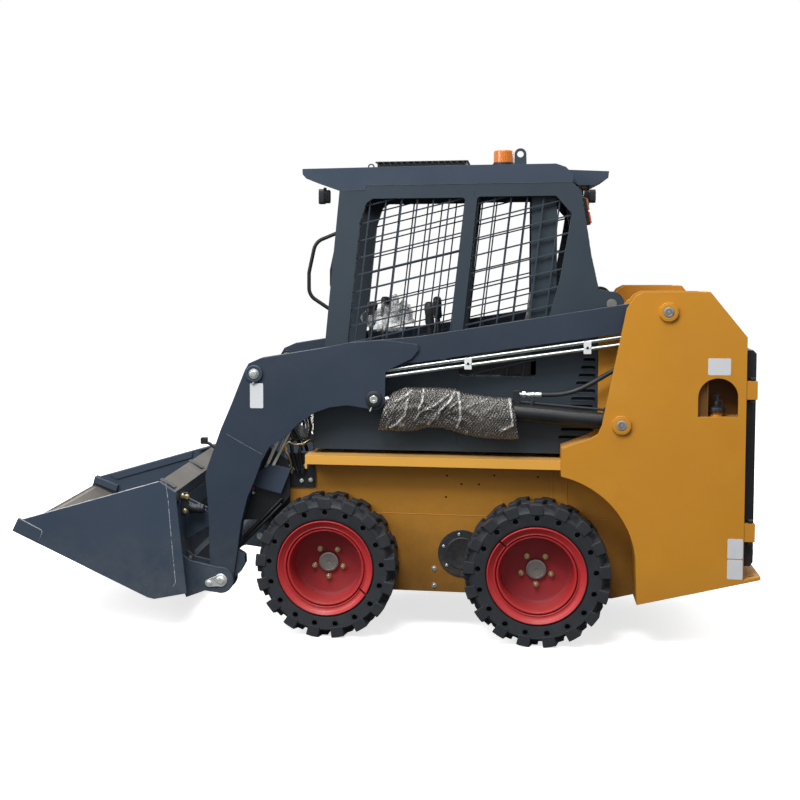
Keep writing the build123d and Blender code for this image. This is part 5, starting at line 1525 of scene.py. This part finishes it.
for side_name, side in SIDES:
    out = Vector((0, side, 0))
    face = CASE_FACE
    seams = Build()
    bead(seams, line_at(side * face, (366, 492), (-60, 493), (-420, 491), (-960, 492)), 0.0017, 0.008, 0.5)
    bead(seams, line_at(side * face, (-739, 560), (-739, 745)), 0.0022, 0.006, 0.6)
    bead(seams, line_at(side * face, (-796, 500), (-796, 700)), 0.0022, 0.006, 0.6)
    bead(seams, line_at(side * (face + 0.5), (-765, 690), (276, 690)), 0.0018, 0.007, 0.5)
    seams.piece(f"chaincase_seams_{side_name}", "chassis", "ochre_paint", ochre_paint, smooth=60)
    # black discs for the holes: painted shade
    holes = Build()
    for x, z in ((-306, 658), (-502, 664), (-680, 662), (-367, 624), (-439, 625), (-303, 568)):
        holes.disc(mm(x, side * face, z), out, 0.0042, 0.0004, 20)
    holes.piece(f"chaincase_holes_{side_name}", "chassis", "ochre_paint", void_painted_shade)
    plugs = Build()
    for x, z in ((-255, 262), (-255, 190), (-430, 205), (100, 205)):
        plugs.disc(mm(x, side * face, z), out, 0.011, 0.0015, 24)
        bolt(plugs, mm(x, side * (face + 1.5), z), out, 0.013, 0.006)
    plugs.piece(f"chaincase_plugs_{side_name}", "chassis", "zinc_plate", zinc_plate, 0.0005, 35)

    # cover over the chain: pressed ring and six bolts
    cover = Build()
    spot = mm(CHAIN_COVER_X, side * (face + 3.5), CHAIN_COVER_Z)
    cover.lathe(spot, out, [(0.0, 0.0016), (0.056, 0.0016), (0.06, 0.003), (0.0655, 0.003),
        (0.0685, 0.0008), (0.0975, 0.0008), (0.099, -0.0005), (0.0, -0.0005)], 72)
    cover.piece(f"chain_cover_disc_{side_name}", "chassis", "black_paint", black_paint, smooth=30)
    bolts = Build()
    for number in range(COVER_BOLTS):
        turn = math.tau * (number + 0.35) / COVER_BOLTS
        bolt(bolts, spot + Vector((math.cos(turn), 0, math.sin(turn))) * COVER_BOLT_CIRCLE, out, 0.013,
            0.0042)
    bolts.piece(f"chain_cover_bolts_{side_name}", "chassis", "zinc_plate", zinc_plate, 0.0005, 35)

    # bolts of the nose plate, its upper part and the guard below it
    bolts = Build()
    for x, z in ((357, 683), (335, 675), (290, 688), (308, 622), (269, 626)):
        bolt(bolts, mm(x, side * NOSE_FACE, z), out, 0.015, 0.007, 0.0095)
    bolts.piece(f"nose_bolts_{side_name}", "chassis", "zinc_plate", zinc_plate, 0.0005, 35)
    plate(f"nose_plate_top_{side_name}", "chassis", "black_paint", black_paint, side,
        [(rect(250, 684, 362, 741), 369, 373.5)], 0.001, 35)
    plate(f"nose_guard_{side_name}", "chassis", "black_paint", black_paint, side,
        [([(358, 590), (358, 462), (424, 462), (424, 480), (411, 500), (370, 560), (366, 590)], 362, 370)],
        0.001, 35)

    # dark plates lining the fuel filler's recess: painted shade
    plate(f"filler_shade_lining_{side_name}", "chassis", "ochre_paint", ochre_painted_shade, side,
        [(rect(-1455, 944, -1322, 1100), 436, 440), (rect(-1326, 944, -1322, 1100), 440, 547),
        (rect(-1455, 1097, -1326, 1100), 440, 547), (rect(-1455, 944, -1451, 1097), 440, 547),
        (rect(-1322, 944, -1280, 1100), 533, 537)])

# ---- lower trim inside the cab
for side_name, side in SIDES:
    plate(f"window_trim_{side_name}", "cab", "cap_plastic", cap_plastic, side,
        [(rounded((-690, 1084), (-352, 1166), 12), 352, 359)], 0.002, 30)

# the window grilles are of heavier wire than their solids
grilles = NODES["window_grilles"]
grilles.modifiers.new("joined", "WELD").merge_threshold = 0.00005
heavier = grilles.modifiers.new("heavier", "DISPLACE")
heavier.mid_level = 0
heavier.strength = 0.0016


# ---- formed pipes at the front
CAP_X = 508  # of the dust caps inside the legs
SLEEVE_REACH = 433.7  # of the bright sleeves along the legs


def sweep(build, points, radius, side):
    """Bent pipe through points with its corners eased, in millimetres."""
    points = [mm(x, side * y, z) for x, y, z in points]
    smooth = []
    for i in range(len(points) - 1):
        before = points[max(i - 1, 0)]
        start, end = points[i], points[i + 1]
        after = points[min(i + 2, len(points) - 1)]
        for step in range(8):
            t = step / 8
            smooth.append(0.5 * (2 * start + (end - before) * t
                + (2 * before - 5 * start + 4 * end - after) * t ** 2
                + (3 * start - before - 3 * end + after) * t ** 3))
    smooth.append(points[-1])
    tube(build, smooth, radius, 12)


for side_name, side in SIDES:
    out = Vector((0, side, 0))
    pipes = Build()
    sweep(pipes, [(351, 382, 652), (351, 386, 690), (361, 393, 729), (375, 397, 760), (360, 397, 789),
        (338, 390, 780), (304, 378, 780), (276, 350, 792), (264, 322, 775), (262, 312, 746)], 0.0048, side)
    for x, y, z in ((351, 383, 664), (375, 397, 760)):
        pipes.disc(mm(x, side * y, z - 9), (0, 0, 1), 0.009, 0.018, 6)
    pipes.piece(f"nose_pipe_{side_name}", "chassis", "zinc_plate", brass_plate, smooth=40)
    dark_pipes = Build()
    sweep(dark_pipes, [(318, 318, 746), (326, 336, 786), (340, 366, 806), (350, 388, 790), (346, 390, 745),
        (334, 386, 690), (322, 383, 655)], 0.0085, side)
    sweep(dark_pipes, [(292, 318, 746), (298, 336, 772), (306, 366, 784), (314, 386, 760), (312, 388, 715),
        (300, 384, 660)], 0.0075, side)
    for x, y, z in ((322, 383, 655), (300, 384, 660)):
        dark_pipes.disc(mm(x, side * y, z - 6), (0, 0, 1), 0.0115, 0.022, 6)
    dark_pipes.piece(f"nose_pipes_{side_name}", "chassis", "black_paint", gloss_black, smooth=40)

    # bundle on the inner face of the leg
    bundle = Build()
    for shift, y, radius in ((0, 431, 0.0062), (14, 424, 0.0056), (27, 430, 0.0062)):
        sweep(bundle, [(300 + shift, y, 985), (276 + shift, y, 930), (262 + shift, y, 860),
            (274 + shift, y, 812), (306 + shift, y, 812), (330 + shift, y, 850), (372 + shift, y, 930),
            (420 + shift, y + 4, 1010)], radius, side)
    bundle.piece(f"leg_pipe_bundle_{side_name}", "boom", "black_paint", gloss_black, smooth=40)
    ties = Build()
    ties.lathe(mm(280, side * 428, 905), (-0.12, 0, 1), rect(0.021, 0, 0.023, 0.005), 24)
    ties.piece(f"leg_pipe_tie_{side_name}", "boom", "hose_rubber", cap_plastic, 0.0005, 35)
    steel_pipes = Build()
    for shift in (0, 22):
        sweep(steel_pipes, [(573, 428, 336 + shift), (520, 428, 390 + shift), (440, 428, 472 + shift),
            (384, 428, 530 + shift)], 0.0075, side)
    steel_pipes.piece(f"leg_pipes_{side_name}", "boom", "black_paint", gloss_black, smooth=40)
    # pale sleeves on the two pipes that drop along the leg: painted sheen
    sleeves = Build()
    for top, foot in (((338, 867), (421, 694)), ((368, 874), (444, 702))):
        tube(sleeves, line_at(side * SLEEVE_REACH, (top[0], top[1]), (foot[0], foot[1])), 0.0066, 16)
    sleeves.piece(f"leg_pipe_sleeves_{side_name}", "boom", "zinc_plate", pipe_painted_sheen, smooth=40)
    # dust caps of the two quick couplings inside the leg
    for name, z, finish in (("red", 592, red_paint), ("plain", 574, zinc_plate)):
        dust_cap = Build()
        dust_cap.lathe(mm(CAP_X, side * 424, z), out, [(0, 0), (0.0065, 0), (0.0065, 0.008), (0.005, 0.01),
            (0, 0.01)], 20)
        dust_cap.piece(f"dust_cap_{name}_{side_name}", "boom", "zinc_plate", finish, smooth=35)
    # plate between the leg and the hydraulic block, black: painted shade
    plate(f"leg_shade_web_{side_name}", "boom", "black_paint", black_paint, side,
        [([(590, 452), (562, 564), (520, 657), (478, 739), (443, 769), (416, 760), (362, 715), (353, 686),
        (353, 562), (380, 526), (406, 496), (442, 458)], 408, 412)], 0.001, 35)
    # film wrapped round the bundle above
    wrap = Build()
    corners = [(262, 905), (258, 860), (270, 812), (300, 806), (318, 824), (312, 858), (316, 900),
        (345, 950), (322, 975), (290, 960)]
    middle = Vector((sum(x for x, z in corners) / len(corners), sum(z for x, z in corners) / len(corners)))
    rings = []
    for share, reach in ((0.25, 440), (0.8, 438), (1.0, 431), (1.0, 425), (0.8, 418), (0.25, 416)):
        ring = []
        for i in range(len(corners) * 6):
            start, end = Vector(corners[i // 6]), Vector(corners[(i // 6 + 1) % len(corners)])
            point = middle.lerp(start.lerp(end, i % 6 / 6), share)
            swell = 5 * noise.noise(Vector((point.x, point.y, reach * side)) / 16)
            ring.append(wrap.mesh.verts.new(mm(point.x + swell, side * (reach + 0.5 * swell),
                point.y + swell)))
        rings.append(ring)
    wrap.skin(rings)
    wrapped = wrap.piece(f"pipe_film_{side_name}", "boom", "bubble_wrap", clear_film, smooth=60)
    declare_sheet(wrapped, 0.2, [f"leg_pipe_bundle_{side_name}"])


# ---- bucket
worn_channel = paint("worn_channel", (0.08, 0.075, 0.068), (0.036, 0.037, 0.04), (0.16, 0.15, 0.13),
    (0.12, 0.11, 0.09), 0.5)
worn_lip = steel("worn_lip", (0.3, 0.275, 0.24), 0.45, (0.12, 0.085, 0.055), 0.6)
bright_zinc = steel("bright_zinc", (0.82, 0.85, 0.84), 0.34, (0.5, 0.48, 0.4), 0.3)
BUCKET_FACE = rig.box("bucket")[1].y * 1000
FOOT_X = FOOT_PIN.x * 1000
SIDE_OUTLINE = [(177, 595), (214, 618), (247, 639), (857, 458), (873, 463), (899, 409), (302, 144),
    (272, 138), (132, 168)]
SHELL_OUTLINE = [(217, 620), (247, 639), (232, 615), (201, 172), (273, 151), (297, 156), (873, 413),
    (899, 409), (302, 144), (272, 138), (189, 158)]


def from_foot(points):
    return [(FOOT_X + x, z) for x, z in points]


shell = Build()
for side_name, side in SIDES:
    slab(shell, from_foot(SIDE_OUTLINE), BUCKET_FACE - 1.5, BUCKET_FACE - 12, side)
slab(shell, from_foot(SHELL_OUTLINE), BUCKET_FACE - 12, -BUCKET_FACE + 12)
slab(shell, from_foot([(177, 595), (217, 620), (213.4, 560), (179, 550)]), BUCKET_FACE - 12,
    -BUCKET_FACE + 12)
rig.replaces(shell.piece("bucket_shell", "bucket", "slate_paint", slate_paint, smooth=30), "bucket")

# worn skin of the floor
skin = Build()
FLOOR_SKIN = [(202.6, 205), (202, 172.8), (273.2, 152.1), (296.7, 157.2), (862, 409.2), (862, 407),
    (297, 155), (273, 150), (200, 171), (201, 205)]
slab(skin, from_foot(FLOOR_SKIN), BUCKET_FACE - 12.5, -BUCKET_FACE + 12.5)
skin.piece("bucket_wear_skin", "bucket", "slate_paint", worn_floor)

# top of the back: folded channel, worn on top, with dark tabs at its ends and middle
channel = Build()
slab(channel, from_foot([(178, 594.6), (214.5, 618), (246.5, 638.2), (247, 639), (214, 619), (177, 596)]),
    BUCKET_FACE - 30, -BUCKET_FACE + 30)
channel.piece("bucket_channel_wear", "bucket", "pin_steel", worn_channel)
tabs = Build()
for middle in (-545, 0, 545):
    slab(tabs, from_foot([(190, 602), (214, 617), (246, 637), (254, 630), (252, 644), (212, 625),
        (187, 609)]), middle - 22, middle + 22)
# the tabs are black for the shade on their faces: painted shade
tabs.piece("bucket_tabs", "bucket", "black_paint", black_paint, 0.0015, 30)

# cutting edge: bolted strip that wears bright at the lip
edge = Build()
slab(edge, from_foot([(793, 361.5), (899, 409), (873, 413), (868, 410.8), (797, 379)]), BUCKET_FACE - 13,
    -BUCKET_FACE + 13)
edge.piece("cutting_edge", "bucket", "pin_steel", worn_lip, 0.001, 30)

for side_name, side in SIDES:
    plate(f"side_cutter_{side_name}", "bucket", "slate_paint", slate_paint, side,
        [([(1505, 461), (1409, 420), (1399, 407), (1416, 363), (1530, 410)], BUCKET_FACE - 1.5,
        BUCKET_FACE)], smooth=30)
    y = side * (BUCKET_FACE - 2.75)
    beads = Build()
    # pale bead along the side cutter: painted highlight
    bead(beads, line_at(y, (1489, 459), (1402, 417), (1397, 408), (1416, 366)), 0.0022, 0.006, 0.25)
    y = side * (BUCKET_FACE - 2.4)
    # pale bead along the seam at the rear and round the lower rear corner: painted highlight
    bead(beads, line_at(y, (851, 632), (841, 560), (832, 440), (822, 320), (812, 212), (826, 192)), 0.0014,
        0.006, 0.8)
    beads.piece(f"bucket_seams_{side_name}", "bucket", "pin_steel", edge_highlight, smooth=60)
    rims = Build()
    # pale lines along the top edge of each side: painted highlight
    top = line_at(side * (BUCKET_FACE - 3), (FOOT_X + 250, 638), (FOOT_X + 856, 458.2))
    for shift in (0, side * -0.0085):
        tube(rims, [top[0].lerp(top[1], i / 40) + Vector((0, shift, 0)) for i in range(41)], 0.0015, 6, 0.9)
    rims.piece(f"bucket_rims_{side_name}", "bucket", "slate_paint", edge_highlight, smooth=60)
    plate(f"bucket_gusset_{side_name}", "bucket", "slate_paint", slate_paint, side,
        [(from_foot([(250, 636), (252, 628), (330, 605), (332, 613)]), BUCKET_FACE - 42, BUCKET_FACE - 12)],
        0.0015, 30)
    # inner bar at the mouth and doubled strip under the top edge of each side
    plate(f"bucket_bars_{side_name}", "bucket", "slate_paint", slate_paint, side,
        [([(1510, 461), (1389, 418), (1399, 386), (1519, 430)], BUCKET_FACE - 34, BUCKET_FACE - 12),
        ([(1440, 470), (1000, 601), (1006, 566), (1400, 446)], BUCKET_FACE - 19, BUCKET_FACE - 12)], 0.0015,
        30)

# ---- coupler
COUPLER_FACE = 525
LOCK_REACH, LOCK_Z = 470, 506  # of the locking bars
LOCK_LEVER_REACH = -400

for side_name, side in SIDES:
    out = Vector((0, side, 0))
    bolts = Build()
    for x, z in ((797, 568), (778, 566), (787, 504)):
        bolt(bolts, mm(x, side * COUPLER_FACE, z), out, 0.017, 0.009, 0.0115)
    bolts.piece(f"coupler_bolts_{side_name}", "bucket", "zinc_plate", brass_plate, 0.0006, 35)
    lock = Build()
    slab(lock, [(768, 486), (800, 482), (807, 584), (772, 584)], COUPLER_FACE - 8, COUPLER_FACE, side)
    lock.bar(mm(715, side * LOCK_REACH, LOCK_Z), mm(790, side * LOCK_REACH, LOCK_Z), 0.019, 28)
    lock.bar(mm(728, side * LOCK_REACH, LOCK_Z), mm(742, side * LOCK_REACH, LOCK_Z), 0.0215, 28)
    lock.bar(mm(770, side * LOCK_REACH, LOCK_Z), mm(778, side * LOCK_REACH, LOCK_Z), 0.0225, 28)
    lock.piece(f"coupler_lock_{side_name}", "bucket", "black_paint", black_paint, 0.0012, 35)
    plate(f"coupler_wedge_{side_name}", "bucket", "pin_steel", worn_lip, side,
        [([(770, 195), (786, 195), (781, 300), (768, 300)], 455, 487)], 0.0012, 35)

# pins at the foot of the legs, each with a keeper plate and two bolts
for side_name, side in SIDES:
    out = Vector((0, side, 0))
    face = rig.box("foot_pins")[1].y * 1000
    spot = mm(FOOT_X, side * (face - 12), FOOT_PIN.z * 1000)
    end = spot + mm(50, 0, -13)
    keeper = Build()
    keeper.lathe(spot, out, [(0, -0.1), (0.0195, -0.1), (0.0195, 0), (0.028, 0), (0.028, 0.0025),
        (0, 0.0025)], 40)
    heading = (end - spot).normalized()
    across = Vector((-heading.z, 0, heading.x))
    outline = []
    for centre, radius, first in ((spot, 0.0255, 97), (end, 0.0165, -83)):
        for step in range(13):
            turn = math.radians(first + step * (166 / 12))
            point = centre + heading * (radius * math.cos(turn)) + across * (radius * math.sin(turn))
            outline.append((point.x * 1000, point.z * 1000))
    slab(keeper, outline, face - 9.5, face - 6.5, side)
    keeper.lathe(spot + out * 0.0055, out, [(0, 0), (0.0185, 0), (0.0185, 0.0014), (0.0165, 0.0022),
        (0, 0.0022)], 36)
    keeper.hexagon(spot + out * 0.0077, out, 0.025, 0.0036, 0.35)
    keeper.disc(end + out * 0.0055, out, 0.0115, 0.0014, 28)
    keeper.hexagon(end + out * 0.0069, out, 0.0155, 0.0046, 0.1)
    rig.replaces(keeper.piece(f"foot_pin_{side_name}", "bucket", "zinc_plate", bright_zinc, 0.0009, 35),
        "foot_pins")

# lever that locks the coupler, on the far side
lever = Build()
tube(lever, line_at(LOCK_LEVER_REACH, (806, 560), (842, 640), (872, 664), (900, 674)), 0.008, 14)
lever.prism(rounded((886, 664), (918, 696), 5), facing_y, LOCK_LEVER_REACH - 16, LOCK_LEVER_REACH + 16)
lever.piece("coupler_lever", "bucket", "black_paint", black_paint, 0.002, 35)

# ---- rear door and hood
low, high = (1000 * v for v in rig.box("rear_door"))

slats, voids = Build(), Build()
DOOR_SLATS, DOOR_TOP, DOOR_PITCH = 18, 1120, 30
for row in range(DOOR_SLATS):
    z = DOOR_TOP - row * DOOR_PITCH
    for first, last in ((-330, -20), (20, 330)):
        voids.prism(rounded((first, z - 20), (last, z - 8), 5.5), facing_x, low.x - 0.4, low.x + 0.6)
        slats.prism([(low.x + 0.5, z - 6), (low.x - 5, z - 14), (low.x - 5, z - 15.5),
            (low.x + 0.5, z - 8)], facing_y, first + 4, last - 4)
# black plates behind the slats: painted shade of the openings
voids.piece("door_voids", "rear_door", "black_paint", void_painted_shade)
slats.piece("door_slats", "rear_door", "black_paint", black_paint, smooth=30)
frame_lines = Build()
corners = rounded((-470, 372), (470, 1186), 26, 8)
tube(frame_lines, [facing_x(a, b, low.x + 0.4) for a, b in corners], 0.0022, 8, closed=True)
frame_lines.piece("door_press_line", "rear_door", "black_paint", black_paint, smooth=60)
latch = Build()
latch.prism(rounded((-474, 768), (-446, 892), 6), facing_x, low.x + 2, low.x + 11)
latch.prism(rounded((-470, 800), (-450, 860), 8), facing_x, low.x - 1, low.x + 3)
latch.lathe(mm(low.x - 1, -460, 880), (-1, 0, 0), [(0, -0.004), (0.008, -0.004), (0.008, 0.002),
    (0.006, 0.003), (0, 0.003)], 24)
latch.piece("door_latch", "rear_door", "black_paint", cap_plastic, 0.0015, 35)
blank = Build()
blank.prism(rounded((-120, 1140), (120, 1178), 5), facing_x, low.x - 0.8, low.x + 0.2)
blank.piece("door_plate", "rear_door", "black_paint", blank_white, 0.0003, 30)
for side_name, side in SIDES:
    lamp = Build()
    lamp.prism(rounded((side * 430 - 34, 380), (side * 430 + 34, 410), 8), facing_x, low.x - 8, low.x + 1)
    lamp.piece(f"door_reflector_{side_name}", "rear_door", "lamp_black", tail_lens, 0.002, 35)

low, high = (1000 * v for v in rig.box("engine_hood"))
hood, voids = Build(), Build()
HOOD_SLATS, HOOD_REAR, HOOD_PITCH = 12, -1310, 26
for row in range(HOOD_SLATS):
    x = HOOD_REAR + row * HOOD_PITCH
    for first, last in ((-300, -20), (20, 300)):
        voids.prism(rounded((x, first), (x + 12, last), 5.5), mm, 1304.6, 1305.4)
        hood.prism([(x + 12, 1304.5), (x + 3, 1309), (x + 1.5, 1309), (x + 9, 1304.5)], facing_y, first + 4,
            last - 4)
# black plates between the slats: painted shade of the openings
voids.piece("hood_voids", "chassis", "ochre_paint", void_painted_shade)
hood.piece("hood_slats", "chassis", "ochre_paint", ochre_paint, smooth=30)

path = "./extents.json"
with open(path, "w") as out:
    json.dump({"cad": [list(c) for c in CAD_BOX], "visual": [list(c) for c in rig.bounds()]}, out)
